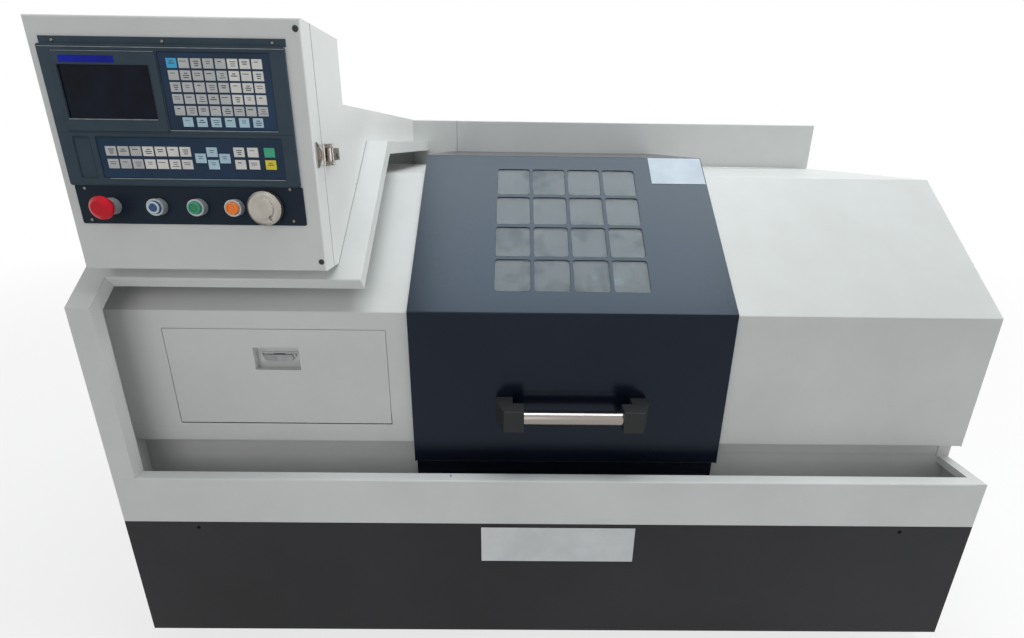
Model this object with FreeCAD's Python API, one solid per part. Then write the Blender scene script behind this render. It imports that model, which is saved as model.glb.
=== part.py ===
import FreeCAD, Part
import math
import os

# An enclosed slant-front turning lathe with a flat bed, in millimetres.
# X runs along the bed from the headstock end, Y from the operator's side to the back, Z up.
# The model is built from the front lower left corner of the base cabinet and is moved at
# the end, so that the origin is under the middle of the machine at floor level.

# ---------------------------------------------------------------- overall sizes
length = 1858.0
foot_height = 55.0
base_height = 308.0
base_depth = 930.0
door_left_x = 623.0
door_width = 680.5
base_wall = 3.0
sheet = 2.0
fold_radius = 1.5
clearance = 0.3
running_gap = 0.05
slope_angle = 40.3

# ---------------------------------------------------------------- enclosure
tray_lip_z = base_height + 110.0
tray_rim = 28.5
tray_hem = 17.0
right_rim = 22.0
back_wall_y = base_depth + 20.0
rear_y = base_depth + 50.0
back_wall_top_z = base_height + 857.0
column_width = 46.5
return_depth = 28.5
column_bend_z = base_height + 487.0
hood_edge_z = base_height + 531.5
hood_right_x = 543.0
hood_top_z = base_height + 789.0
cover_face_y = 83.5
cover_bend_z = base_height + 456.5
cover_bottom_z = base_height + 151.0
cover_top_z = base_height + 715.0
left_cover_x = door_left_x + 17.0
right_cover_x = door_left_x + door_width - 13.5
apron_y = 109.0
apron_top_z = base_height + 114.0
chip_window_x = (left_cover_x + 40.0, right_cover_x - 40.0)
chip_window_z = (base_height + 17.0, base_height + 92.0)
guide_bar_z = base_height + 24.0
guide_bar_height = 12.0
guide_bar_depth = 6.0
cover_back_y = base_depth - 15.0
top_flange = 30.0
bottom_flange = 60.0
base_bulkheads = (600.0, length - 558.0)
front_hole_xs = (158.0, length - 158.0)
front_hole_z = base_height - 15.0
front_hole_radius = 4.5
foot_xs = (120.0, length / 2, length - 120.0)
foot_ys = (95.0, base_depth - 90.0)
foot_plate = 100.0
foot_plate_thickness = 6.0
foot_bolt_radius = 8.0
foot_pad_radius = 40.0
foot_pad_height = 14.0
foot_nut_flats = 24.0
foot_nut_height = 13.0
foot_bolt_top_z = 30.0
bulkhead_hole_y = (300.0, base_depth - 290.0)
bulkhead_hole_z = (70.0, base_height - 68.0)
channel_xs = (290.0, 480.0, length - 478.0, length - 218.0)
nose_radius = 62.0
nose_cover_radius = 78.0
bar_hole_radius = 34.0

# ---------------------------------------------------------------- access door
access_left_x = 113.0
access_width = 461.5
access_bottom_z = base_height + 197.8
access_height = 218.9
access_gap = 1.5
latch_x = 342.0
latch_z = base_height + 349.0
latch_plate_width = 82.0
latch_plate_height = 22.5
latch_recess_x = 50.0
latch_recess_up = 28.5
latch_recess_down = 26.0
latch_depth = 20.0
latch_plate_thickness = 3.0
paddle_pin_radius = 1.0
stop_width = 14.0
stop_lap = 12.0
hinge_room = 20.0
access_bottom_gap = 2.4
access_pin_radius = 2.0
access_pin_back = 4.0
access_ear = 3.0

# ---------------------------------------------------------------- guard door
door_proud = 9.0
door_bottom_z = base_height + 107.5
door_top_z = base_height + 758.0
door_hem = 20.0
skirt_bottom_z = base_height + 37.0
skirt_set_back = 24.0
door_travel = length - door_left_x - door_width - 49.5
pane_width = 76.5
pane_pitch_x = 84.6
pane_pitch_slope = 91.9
pane_length = 83.2
pane_radius = 7.0
pane_first_x = door_left_x + 177.0
pane_first_slope = 54.0
pane_count = 4
glass = 4.0
handle_centre_x = door_left_x + 345.0
handle_grip = 206.0
handle_seat = 20.0
handle_z = base_height + 246.5
handle_radius = 15.0
handle_reach = 46.5
bracket_width = 59.5
bracket_height = 48.0
carriage_inset = 38.0
carriage_length = 70.0
door_back_y = base_depth + 6.0
cheek_gap = 1.2
cover_return = 10.0
window_lap = 18.0
rail_set_back = 7.0

# ---------------------------------------------------------------- rear
rail_depth = 16.0
rail_height = 14.0
rail_right_x = length - 36.0
rail_left_x = 560.0
beam_size = 40.0
beam_wall = 3.0
beam_top_z = base_height + 704.0
beam_left_x = 540.0
beam_bracket_xs = (560.0, 1100.0, length - 218.0)
coaming_bottom_z = base_height + 692.0
seam_gap = 0.5
rear_handle_reach = 34.0
rear_handle_length = 100.0
rear_hinge_radius = 4.0
rear_hinge_pin_radius = 2.0
rear_hinge_height = 20.0
panel_seam_x = left_cover_x + 2.0
electrical_x = (60.0, 480.0)
electrical_z = (base_height + 142.0, base_height + 697.0)
electrical_depth = 280.0

# ---------------------------------------------------------------- control cabinet
cabinet_right_x = 493.0
cabinet_bottom_z = base_height + 558.7
cabinet_top_z = cabinet_bottom_z + 417.0
cabinet_front_y = 57.5
cabinet_step_y = 199.0
cabinet_step_z = cabinet_bottom_z + 299.3
control_door_y = 15.5
control_door_radius = 6.0
cabinet_flange = 15.0
unit_x = (63.5, 463.5)
unit_z = (cabinet_bottom_z + 151.3, cabinet_bottom_z + 374.3)
unit_proud = 6.0
unit_depth = 70.0
unit_edge = 10.0
bezel_x = (84.5, 254.0)
bezel_z = (cabinet_bottom_z + 241.3, cabinet_bottom_z + 363.3)
screen_x = (91.0, 240.0)
screen_z = (cabinet_bottom_z + 261.3, cabinet_bottom_z + 343.3)
input_x = (256.0, 438.0)
input_z = (cabinet_bottom_z + 244.3, cabinet_bottom_z + 364.3)
recess_depth = 1.5
input_key = (17.2, 15.0)
input_key_first = (277.5, cabinet_bottom_z + 275.3)
input_key_pitch = (19.9, 18.1)
input_key_count = (8, 5)
soft_key_first_x = 288.0
soft_key_pitch = 23.6
soft_key_count = 6
soft_key_z = cabinet_bottom_z + 257.3
operation_x = (125.0, 441.0)
operation_z = (cabinet_bottom_z + 164.3, cabinet_bottom_z + 232.3)
operation_key = (18.6, 15.8)
operation_key_first = (146.5, cabinet_bottom_z + 188.3)
operation_key_pitch = (21.2, 21.0)
operation_key_count = (7, 2)
arrow_centre = (319.3, cabinet_bottom_z + 198.9)
arrow_pitch = (20.8, 10.3)
override_first = (365.7, cabinet_bottom_z + 189.2)
override_pitch = (23.7, 20.3)
cycle_key_x = 418.0
key_height = 1.2
button_plate_x = (67.0, 466.0)
button_plate_z = (cabinet_bottom_z + 84.3, cabinet_bottom_z + 151.3)
button_axis_z = cabinet_bottom_z + 115.8
stop_x = 127.0
blue_x = 209.0
green_x = 280.0
orange_x = 345.5
handwheel_x = 400.0
stop_radius = 20.0
stop_reach = 40.5
bezel_radius = 14.75
bezel_reach = 14.0
handwheel_radius = 30.0
shank_radius = 6.0
head_radius = 11.0
button_travel = 3.0
button_plate_proud = 3.0
contact_block = 30.0
contact_depth = 34.0
toggle_z = cabinet_bottom_z + 206.3
toggle_pivot = (6.5, 72.0)
loop_pin_x = 2.5
loop_pin_y = 11.0
loop_half = 17.2
loop_wire = 1.5
loop_bar = (10.5, 34.0)
hinge_x = 43.5
hinge_y = 57.35
hinge_zs = (cabinet_bottom_z + 38.3, cabinet_bottom_z + 328.3)
knuckle_height = 18.0
knuckle_radius = 2.9
hinge_pin_radius = 1.5
leaf_width = 17.0

# ---------------------------------------------------------------- machine inside
spindle_y = 470.0
spindle_z = base_height + 437.0
bore_radius = 20.0
bed_x = (270.0, length - 158.0)
bed_y = (365.0, 575.0)
bed_top_z = base_height + 277.0
bed_bottom_z = base_height + 92.0
bed_rib_pitch = 240.0
headstock_x = (270.0, 600.0)
headstock_y = (340.0, 600.0)
headstock_top_z = spindle_z + 135.0
bulkhead_x = 604.0
bulkhead_flange = 18.0
bulkhead_room = 1.0
chuck_x = 628.3
chuck_radius = 100.0
chuck_width = 75.0
jaw_reach = 42.0
jaw_width = 24.0
jaw_depth = 18.0
jaw_inner = 32.0
spindle_radius = 35.0
ridge_y = 395.0
ridge_height = 12.0
way_width = 60.0
way_lip = 12.0
leg_length = 180.0
leg_wall = 25.0
saddle_centre_x = 1100.0
saddle_length = 280.0
saddle_y = (235.0, 625.0)
saddle_top_z = bed_top_z + 51.0
dovetail_height = 20.0
dovetail_half_width = 44.0
cross_slide_y = (205.0, 425.0)
cross_slide_width = 180.0
cross_slide_top_z = saddle_top_z + 50.0
turret_y = 300.0
turret_base_top_z = cross_slide_top_z + 26.0
turret_size = 152.0
turret_top_z = turret_base_top_z + 78.0
tool_reach = 128.0
screw_radius = 12.5
screw_y = 338.0
screw_z = bed_top_z - 95.0
screw_motor_size = 110.0
screw_motor_length = 110.0
motor_cap_length = 32.0
motor_cap_inset = 8.0
screw_bracket = 25.0
cross_screw_z = saddle_top_z - 24.0
cross_screw_radius = 8.0
tool_z = turret_base_top_z + 20.0
tailstock_x = (length - 408.0, length - 238.0)
quill_radius = 30.0
quill_rest = 10.0
quill_bore_radius = 12.0
quill_bore_start = 40.0
quill_wheel_radius = 70.0
motor_z = 160.0
motor_fin_count = 20
motor_fin = 8.0
motor_radius = 95.0
motor_x = (270.0, 530.0)
motor_shaft_radius = 14.0
rail_channel = 40.0
tank_x = (length - 498.0, length - 158.0)
tank_y = (200.0, base_depth - 170.0)
tank_top_z = base_height - 88.0
pump_radius = 42.0
pump_flange_radius = 62.0
pump_height = 72.0
pulley_x = (190.0, 250.0)
motor_pulley_radius = 55.0
spindle_pulley_radius = 85.0
belt_thickness = 9.0

V = FreeCAD.Vector
slope = math.radians(slope_angle)
door_face_y = cover_face_y - door_proud
door_bend_z = cover_bend_z + door_proud * math.tan((math.pi / 2 - slope) / 2)
door_right_x = door_left_x + door_width
access_right_x = access_left_x + access_width
access_top_z = access_bottom_z + access_height
access_pin_y = cover_face_y + sheet + access_pin_back
access_pin_z = access_bottom_z + access_pin_back
beam_y = cover_back_y - 7.0
rear_hinge_x = electrical_x[0] - rear_hinge_radius - clearance
rear_hinge_y = rear_y + rear_hinge_radius + clearance
tray_floor_z = base_height + sheet
paddle_y = cover_face_y + 11.5
paddle_z = latch_z + 5.5
DIRECTION = {"x": V(1, 0, 0), "y": V(0, 1, 0), "z": V(0, 0, 1)}


# ---------------------------------------------------------------- helpers
def place(axis, at, a, b):
    """A point at a distance along an axis; a and b are its other two coordinates, in order."""
    return {"x": V(at, a, b), "y": V(a, at, b), "z": V(a, b, at)}[axis]


def block(x0, x1, y0, y1, z0, z1):
    return Part.makeBox(x1 - x0, y1 - y0, z1 - z0, V(x0, y0, z0))


def rod(axis, radius, start, end, a, b):
    return Part.makeCylinder(radius, end - start, place(axis, start, a, b), DIRECTION[axis])


def tube(axis, outer, inner, start, end, a, b):
    return rod(axis, outer, start, end, a, b).cut(rod(axis, inner, start - 1, end + 1, a, b))


def prism(points, axis, start, end):
    """A straight-sided outline, given across the axis, drawn out along the axis."""
    corners = [place(axis, start, a, b) for a, b in points]
    face = Part.Face(Part.makePolygon(corners + corners[:1]))
    return face.extrude(DIRECTION[axis] * (end - start))


def turned(axis, a, b, outline):
    """A solid of revolution; the outline holds (distance along the axis, radius) pairs."""
    corners = [place(axis, at, a + radius, b) for at, radius in outline]
    face = Part.Face(Part.makePolygon(corners + corners[:1]))
    return face.revolve(place(axis, 0, a, b), DIRECTION[axis], 360)


def hexagon(axis, across_flats, start, end, a, b):
    """A six-sided prism along an axis."""
    radius = across_flats / math.sqrt(3)
    corners = [(a + radius * math.cos(math.radians(60 * i)),
                b + radius * math.sin(math.radians(60 * i))) for i in range(6)]
    return prism(corners, axis, start, end)


def join(shapes):
    first = shapes[0]
    return first.fuse(shapes[1:]).removeSplitter() if len(shapes) > 1 else first


def cut(shape, tools):
    return shape.cut(tools).removeSplitter() if tools else shape


def edges_along(shape, axis, keep=lambda point: True):
    """The straight edges that run along an axis and whose middle passes the test."""
    found = []
    for edge in shape.Edges:
        if edge.Curve.TypeId != "Part::GeomLine":
            continue
        direction = edge.tangentAt(edge.FirstParameter)
        if abs(direction.dot(DIRECTION[axis])) > 0.999 and keep(edge.CenterOfMass):
            found.append(edge)
    return found


def rounded_block(x0, x1, y0, y1, z0, z1, axis, radius):
    """A block whose four edges along one axis are rounded."""
    plain = block(x0, x1, y0, y1, z0, z1)
    return plain.makeFillet(radius, edges_along(plain, axis))


def moved(shape, x=0.0, y=0.0, z=0.0):
    copy = shape.copy()
    copy.translate(V(x, y, z))
    return copy


def turned_about(shape, centre, axis, angle):
    copy = shape.copy()
    copy.rotate(centre, DIRECTION[axis], angle)
    return copy


def slope_y(face_y, bend_z, z):
    """Where a slope that starts at a bend has got to at a height."""
    return face_y + (z - bend_z) / math.tan(slope)


def on_slope(shape, face_y, bend_z):
    """Puts a shape drawn flat, with Y up the slope and Z out of it, on a slope."""
    return moved(turned_about(shape, V(0, 0, 0), "x", slope_angle), 0, face_y, bend_z)


def offset_line(line, distance):
    """A line of (y, z) points moved sideways, to the right of its way for a plus distance."""
    result = []
    count = len(line)
    for i, (y, z) in enumerate(line):
        normals = []
        for j in (i - 1, i):
            if 0 <= j < count - 1:
                dy = line[j + 1][0] - line[j][0]
                dz = line[j + 1][1] - line[j][1]
                span = math.hypot(dy, dz)
                normals.append((dz / span, -dy / span))
        ny = sum(n[0] for n in normals) / len(normals)
        nz = sum(n[1] for n in normals) / len(normals)
        scale = distance / (ny * ny + nz * nz)
        result.append((y + ny * scale, z + nz * scale))
    return result


def turn_at(line, i):
    """The sine of the turn at a point of a line: plus where it turns to the right."""
    before = (line[i][0] - line[i - 1][0], line[i][1] - line[i - 1][1])
    after = (line[i + 1][0] - line[i][0], line[i + 1][1] - line[i][1])
    product = before[1] * after[0] - before[0] * after[1]
    return product / math.hypot(*before) / math.hypot(*after)


def rounded_outline(points, radii, x):
    """A closed wire in the plane across X, with an arc at each corner that has a radius."""
    edges = []
    starts = []
    ends = []
    for i, (y, z) in enumerate(points):
        corner = V(x, y, z)
        before = V(x, *points[i - 1])
        after = V(x, *points[(i + 1) % len(points)])
        radius = radii[i]
        if radius <= 0:
            starts.append(corner)
            ends.append(corner)
            continue
        back = (before - corner).normalize()
        on = (after - corner).normalize()
        half = back.getAngle(on) / 2
        run = radius / math.tan(half)
        centre = corner + (back + on).normalize() * (radius / math.sin(half))
        middle = centre + (corner - centre).normalize() * radius
        starts.append(corner + back * run)
        ends.append(corner + on * run)
        edges.append(Part.Arc(starts[-1], middle, ends[-1]).toShape())
    for i in range(len(points)):
        following = starts[(i + 1) % len(points)]
        if (following - ends[i]).Length > 1e-6:
            edges.append(Part.makeLine(ends[i], following))
    return Part.Wire(Part.__sortEdges__(edges))


def folded_sheet(line, x0, x1, thickness=sheet):
    """A folded sheet: the line is its outer face, its metal lies to the right of the line's way."""
    inner = offset_line(line, thickness)
    outer_radii = [0.0]
    inner_radii = [0.0]
    for i in range(1, len(line) - 1):
        closes = turn_at(line, i) > 0
        outer_radii.append(fold_radius + thickness if closes else fold_radius)
        inner_radii.append(fold_radius if closes else fold_radius + thickness)
    outer_radii.append(0.0)
    inner_radii.append(0.0)
    points = line + inner[::-1]
    radii = outer_radii + inner_radii[::-1]
    face = Part.Face(rounded_outline(points, radii, x0))
    return face.extrude(V(x1 - x0, 0, 0))


# ---------------------------------------------------------------- base and tray
def base_cabinet():
    """A welded sheet box with a top flange, two bulkheads and a bottom return."""
    outer = block(0, length, 0, base_depth, 0, base_height)
    inside = block(base_wall, length - base_wall, base_wall, base_depth - base_wall,
                   base_wall, base_height - base_wall)
    top_opening = block(top_flange, length - top_flange, top_flange, base_depth - top_flange,
                        base_height - base_wall - 1, base_height + 1)
    bottom_opening = block(bottom_flange, length - bottom_flange, bottom_flange,
                           base_depth - bottom_flange, -1, base_wall + 1)
    shell = outer.cut([inside, top_opening, bottom_opening])
    parts = [shell]
    for x in base_bulkheads:
        wall = block(x, x + base_wall, base_wall, base_depth - base_wall, base_wall,
                     base_height - base_wall)
        hole = rounded_block(x - 1, x + base_wall + 1, *bulkhead_hole_y, *bulkhead_hole_z, "x",
                             30)
        parts.append(wall.cut(hole))
    for x in foot_xs:
        for y in foot_ys:
            half = foot_plate / 2
            parts.append(block(x - half, x + half, y - half, y + half, 0, foot_plate_thickness))
    for x in channel_xs:
        parts.append(block(x, x + 30, base_wall, base_depth - base_wall, base_wall - 1,
                           rail_channel))
    holes = [rod("y", front_hole_radius, -1, base_wall + 1, x, front_hole_z)
             for x in front_hole_xs]
    holes += [rod("z", foot_bolt_radius + clearance, -1, base_wall + foot_plate_thickness + 1, x, y)
              for x in foot_xs for y in foot_ys]
    return cut(join(parts), holes)


def levelling_feet():
    """A round pad, a threaded shank and a lock nut under each foot plate."""
    feet = []
    for x in foot_xs:
        for y in foot_ys:
            pad = rod("z", foot_pad_radius, -foot_height, foot_pad_height - foot_height, x, y)
            shank = rod("z", foot_bolt_radius, 1 - foot_height, foot_bolt_top_z, x, y)
            nut = hexagon("z", foot_nut_flats, -foot_nut_height, 0, x, y)
            feet.append(join([pad, shank, nut]))
    return Part.makeCompound(feet)


def enclosure_frame():
    """The welded front: band and tray lip, left column and hood, left cheek, right rim."""
    lip = [(0, base_height), (0, tray_lip_z), (tray_rim, tray_lip_z),
           (tray_rim, tray_lip_z - tray_hem)]
    parts = [folded_sheet(lip, 0, length)]
    wall_top_z = cover_bottom_z - clearance
    right_wall = block(length - sheet, length, 0, apron_y, base_height, tray_lip_z)
    right_back = block(length - sheet, length, apron_y - 1, rear_y, base_height, wall_top_z)
    rim = block(length - right_rim, length, 0, apron_y, tray_lip_z - sheet, tray_lip_z)
    hem = block(length - right_rim, length - right_rim + sheet, 1, apron_y,
                tray_lip_z - tray_hem, tray_lip_z)
    post = block(length - return_depth, length, apron_y - sheet, apron_y, tray_lip_z - sheet,
                 wall_top_z)
    strip = block(right_cover_x, length - sheet, apron_y, apron_y + sheet,
                  apron_top_z + clearance, wall_top_z)
    parts += [right_wall, right_back, rim, hem, post, strip]
    cheek_line = [(0, base_height), (0, column_bend_z),
                  (slope_y(0, column_bend_z, hood_top_z), hood_top_z), (rear_y, hood_top_z),
                  (rear_y, base_height)]
    parts.append(prism(cheek_line, "x", 0, sheet))
    hood_back_y = slope_y(0, column_bend_z, hood_top_z)
    column = [(0, tray_lip_z - 1), (0, column_bend_z), (hood_back_y, hood_top_z),
              (back_wall_y - clearance, hood_top_z)]
    parts.append(folded_sheet(column, 0, column_width))
    inner = offset_line(column, return_depth)
    side = prism(column + inner[::-1], "x", column_width - sheet, column_width)
    parts.append(side)
    hood_front_y = slope_y(0, column_bend_z, hood_edge_z)
    hood = [(hood_front_y, hood_edge_z), (hood_back_y, hood_top_z),
            (back_wall_y - clearance, hood_top_z)]
    flange_foot = offset_line(hood, return_depth)
    parts.append(folded_sheet([flange_foot[0]] + hood, column_width - 1, hood_right_x))
    edge = prism(hood + flange_foot[::-1], "x", hood_right_x - sheet, hood_right_x)
    parts.append(edge)
    lip_hole = rod("z", 2.5, tray_lip_z - sheet - 1, tray_lip_z + 1, 710, 17.5)
    bar_hole = rod("x", bar_hole_radius, -1, sheet + 1, spindle_y, spindle_z)
    return cut(join(parts), [lip_hole, bar_hole])


def belt_passage(z0, z1):
    return rounded_block(pulley_x[0] - 8, pulley_x[1] + 8, spindle_y - 110, spindle_y + 110,
                         z0, z1, "z", 20)


def chip_tray():
    """A pan with a rear wall, a front apron with a chip window, and the door's lower guide."""
    left = sheet + clearance
    right = length - sheet - clearance
    floor = block(left, right, sheet + clearance, rear_y, base_height, tray_floor_z)
    rear = block(left, right, rear_y - sheet, rear_y, base_height, cover_bottom_z - clearance)
    apron = block(left, right, apron_y, apron_y + sheet, base_height, apron_top_z)
    left_apron = block(left, left_cover_x, apron_y, apron_y + sheet, base_height,
                       cover_bottom_z - clearance)
    x0, x1 = chip_window_x
    z0, z1 = chip_window_z
    window = rounded_block(x0, x1, apron_y - 1, apron_y + sheet + 1, z0, z1, "y", 10)
    guide = block(left_cover_x, right - 26, apron_y - guide_bar_depth, apron_y + 1, guide_bar_z,
                  guide_bar_z + guide_bar_height)
    guide = guide.cut(block(x0, x1, apron_y, apron_y + 2, z0, z1))
    collar = rounded_block(pulley_x[0] - 10, pulley_x[1] + 10, spindle_y - 112, spindle_y + 112,
                           base_height, tray_floor_z + 25, "z", 22)
    pan = join([floor, rear, join([apron, left_apron]).cut(window), guide, collar])
    return cut(pan, [belt_passage(base_height - 1, tray_floor_z + 30)])


# ---------------------------------------------------------------- front covers
def cover_line():
    top_y = slope_y(cover_face_y, cover_bend_z, cover_top_z)
    return [(apron_y + sheet + 1, cover_bottom_z), (cover_face_y, cover_bottom_z),
            (cover_face_y, cover_bend_z), (top_y, cover_top_z), (cover_back_y, cover_top_z),
            (cover_back_y, cover_top_z - 11)]


def left_cover():
    """The cover in front of the headstock, with the access opening, its stop and hinge ears."""
    cover = folded_sheet(cover_line(), sheet + clearance, left_cover_x)
    opening = rounded_block(access_left_x - access_gap, access_right_x + access_gap,
                            cover_face_y - 1, cover_face_y + sheet + 1,
                            access_bottom_z - access_bottom_gap, access_top_z + access_gap, "y",
                            3)
    stop_y = cover_face_y + sheet
    stop = block(access_left_x - stop_width, access_right_x + stop_width, stop_y,
                 stop_y + sheet, access_bottom_z - stop_width, access_top_z + stop_width)
    way_in = block(access_left_x + stop_lap, access_right_x - stop_lap, stop_y - 1,
                   stop_y + sheet + 1, access_bottom_z + hinge_room, access_top_z - stop_lap)
    relief = block(access_left_x - access_gap, access_right_x + access_gap, stop_y - 1,
                   stop_y + sheet + 1, access_bottom_z - access_gap - 8,
                   access_bottom_z + hinge_room + 1)
    ears = []
    for x in (access_left_x - access_gap - access_ear, access_right_x + access_gap):
        ears.append(block(x, x + access_ear, stop_y, access_pin_y + 2 * access_pin_radius,
                          access_pin_z - 2 * access_pin_radius,
                          access_pin_z + 2 * access_pin_radius))
    pin_hole = rod("x", access_pin_radius + running_gap, access_left_x - stop_width,
                   access_right_x + stop_width, access_pin_y, access_pin_z)
    return cut(join([cover.cut(opening), stop.cut([way_in, relief])] + ears), [pin_hole])


def headstock_bulkhead():
    """The sheet wall beside the headstock: it stands in the tray and is flanged to the cover."""
    front_y = cover_face_y + sheet
    room = bulkhead_room
    line = offset_line(cover_line(), sheet + room)[1:4]
    foot_y = apron_y + sheet + room
    back_y = beam_y - room
    outline = [(foot_y, tray_floor_z), (foot_y, line[0][1])] + line
    outline += [(back_y, line[2][1]), (back_y, tray_floor_z)]
    wall = prism(outline, "x", bulkhead_x, bulkhead_x + sheet)
    bed_gap = block(bulkhead_x - 1, bulkhead_x + sheet + 1, screw_y - 60, bed_y[1] + 5,
                    tray_floor_z - 1, bed_top_z + 20)
    nose_gap = rod("x", nose_cover_radius + room, bulkhead_x - 1, bulkhead_x + sheet + 1,
                   spindle_y, spindle_z)
    front_flange = block(bulkhead_x, bulkhead_x + bulkhead_flange, front_y, front_y + sheet,
                         cover_bottom_z + bulkhead_flange, cover_bend_z - bulkhead_flange)
    top_z = cover_top_z - sheet
    top_flange_piece = block(bulkhead_x, bulkhead_x + bulkhead_flange, spindle_y, back_y,
                             top_z - sheet, top_z)
    return join([wall.cut([bed_gap, nose_gap]), front_flange, top_flange_piece])


def access_door():
    """A sheet door, hinged at its bottom edge, with a latch recess, its plate and two ears."""
    face = rounded_block(access_left_x, access_right_x, cover_face_y, cover_face_y + sheet,
                         access_bottom_z, access_top_z, "y", 2)
    back = cover_face_y + latch_depth
    x0 = latch_x - latch_recess_x
    x1 = latch_x + latch_recess_x
    z0 = latch_z - latch_recess_down
    z1 = latch_z + latch_recess_up
    pan = block(x0, x1, cover_face_y, back, z0, z1)
    hollow = block(x0 + sheet, x1 - sheet, cover_face_y - 1, back - sheet, z0 + sheet, z1 - sheet)
    half = latch_plate_width / 2
    plate = rounded_block(latch_x - half, latch_x + half, back - sheet - latch_plate_thickness,
                          back - 1, latch_z - latch_plate_height / 2,
                          latch_z + latch_plate_height / 2, "y", 4)
    latch_ears = [block(latch_x + side * 34.5 - 1.5, latch_x + side * 34.5 + 1.5, paddle_y - 3,
                  back - sheet - 1, paddle_z - 3, paddle_z + 3) for side in (-1, 1)]
    stem_hole = block(latch_x - 12, latch_x + 12, back - 10, back + 1, latch_z - 8, latch_z + 8)
    pin_hole = rod("x", paddle_pin_radius + running_gap, latch_x - 40, latch_x + 40, paddle_y,
                   paddle_z)
    shell = join([face, pan]).cut(hollow)
    hinge = []
    for x, side in ((access_left_x, 1), (access_right_x, -1)):
        ear = sorted((x + side, x + side * (1 + access_ear)))
        pin = sorted((x + side * 2, x - side * (access_gap + access_ear)))
        hinge.append(block(*ear, cover_face_y + 1, access_pin_y + 2 * access_pin_radius,
                           access_bottom_z, access_pin_z + 2 * access_pin_radius))
        hinge.append(rod("x", access_pin_radius, *pin, access_pin_y, access_pin_z))
    return cut(join([shell, plate] + latch_ears + hinge), [stem_hole, pin_hole])


def access_latch():
    """The paddle that swings out on two pins and carries the latch's stem."""
    reach = 31.0
    paddle = rounded_block(latch_x - reach, latch_x + reach, paddle_y - 2, paddle_y + 2,
                           latch_z - 7, latch_z + 7, "y", 6.5)
    stem = block(latch_x - 8, latch_x + 8, paddle_y + 1, paddle_y + 9.5, latch_z - 4, latch_z + 4)
    pins = [rod("x", paddle_pin_radius, min(at, at + side * 9), max(at, at + side * 9), paddle_y,
                paddle_z) for side, at in ((-1, latch_x - 27), (1, latch_x + 27))]
    return join([paddle, stem] + pins)


def right_cover():
    """The tailstock cover: vertical face, slope and flat top, with a cheek at the right end."""
    cover = folded_sheet(cover_line(), right_cover_x, length)
    line = cover_line()[1:5]
    cheek_line = line + [(cover_back_y, cover_bottom_z)]
    cheek = prism(cheek_line, "x", length - sheet, length)
    inner = offset_line(line, cover_return)
    left_return = prism(line[1:] + inner[1:][::-1], "x", right_cover_x, right_cover_x + sheet)
    tail = block(rail_right_x + 4, length, cover_back_y - 1, back_wall_y - sheet, cover_top_z - sheet,
                 cover_top_z)
    return join([cover, cheek, left_return, tail])


# ---------------------------------------------------------------- guard door
def door_line():
    top_y = slope_y(door_face_y, door_bend_z, door_top_z)
    skirt_y = door_face_y + skirt_set_back
    return [(skirt_y, skirt_bottom_z), (skirt_y, door_bottom_z), (door_face_y, door_bottom_z),
            (door_face_y, door_bend_z), (top_y, door_top_z), (door_back_y, door_top_z),
            (door_back_y, door_top_z - door_hem)]


def window_cells(grow, near, far):
    """The window's panes on the door's slope, from one distance to another out of its face."""
    cells = []
    for column in range(pane_count):
        for row in range(pane_count):
            x = pane_first_x + column * pane_pitch_x
            s = pane_first_slope + row * pane_pitch_slope
            cell = rounded_block(x - grow, x + pane_width + grow, s - grow,
                                 s + pane_length + grow, near, far, "z", pane_radius)
            cells.append(on_slope(cell, door_face_y, door_bend_z))
    return cells


def guard_door():
    """One folded sheet from the skirt over the slope to the rear hem, with cheeks and panes."""
    line = door_line()
    shell = folded_sheet(line, door_left_x, door_right_x)
    seat = offset_line(cover_line()[1:5], -cheek_gap)
    back_y = cover_back_y - 3
    outline = line[2:] + [(back_y, line[-1][1]), (back_y, seat[3][1]), seat[2], seat[1],
                          (seat[0][0], door_bottom_z)]
    cheeks = [prism(outline, "x", x, x + sheet) for x in (door_left_x, door_right_x - sheet)]
    return cut(join([shell] + cheeks), window_cells(0, -sheet - 1, 1))


def door_window():
    """One clear pane behind the window's bars."""
    x0 = pane_first_x - window_lap
    x1 = pane_first_x + (pane_count - 1) * pane_pitch_x + pane_width + window_lap
    s0 = pane_first_slope - window_lap
    s1 = pane_first_slope + (pane_count - 1) * pane_pitch_slope + pane_length + window_lap
    pane = rounded_block(x0, x1, s0, s1, -sheet - glass, -sheet, "z", 6)
    return on_slope(pane, door_face_y, door_bend_z)


def handle_brackets():
    """Two moulded brackets, each with a foot on the door and a socket that reaches forward."""
    brackets = []
    front = door_face_y - handle_reach - handle_radius - 5
    for side in (-1, 1):
        inner = handle_centre_x + side * handle_grip / 2
        outer = inner + side * bracket_width
        outline = [(outer, door_face_y), (outer, door_face_y - 22),
                   (outer - side * 18, front), (inner, front), (inner, door_face_y - 26.5),
                   (outer - side * 36, door_face_y - 26.5), (outer - side * 36, door_face_y)]
        body = prism(outline, "z", handle_z - bracket_height / 2, handle_z + bracket_height / 2)
        body = body.makeFillet(2, [e for e in body.Edges if e.BoundBox.ZLength < 1
                                   and abs(e.CenterOfMass.y - door_face_y) > 1])
        brackets.append(body)
    grip = handle_grip + 2 * handle_seat
    socket = rod("x", handle_radius + running_gap, handle_centre_x - grip / 2 - clearance,
                 handle_centre_x + grip / 2 + clearance, door_face_y - handle_reach, handle_z)
    return Part.makeCompound([b.cut(socket) for b in brackets])


def handle_tube():
    half = handle_grip / 2 + handle_seat
    return tube("x", handle_radius, handle_radius - 2, handle_centre_x - half,
                handle_centre_x + half, door_face_y - handle_reach, handle_z)


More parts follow.
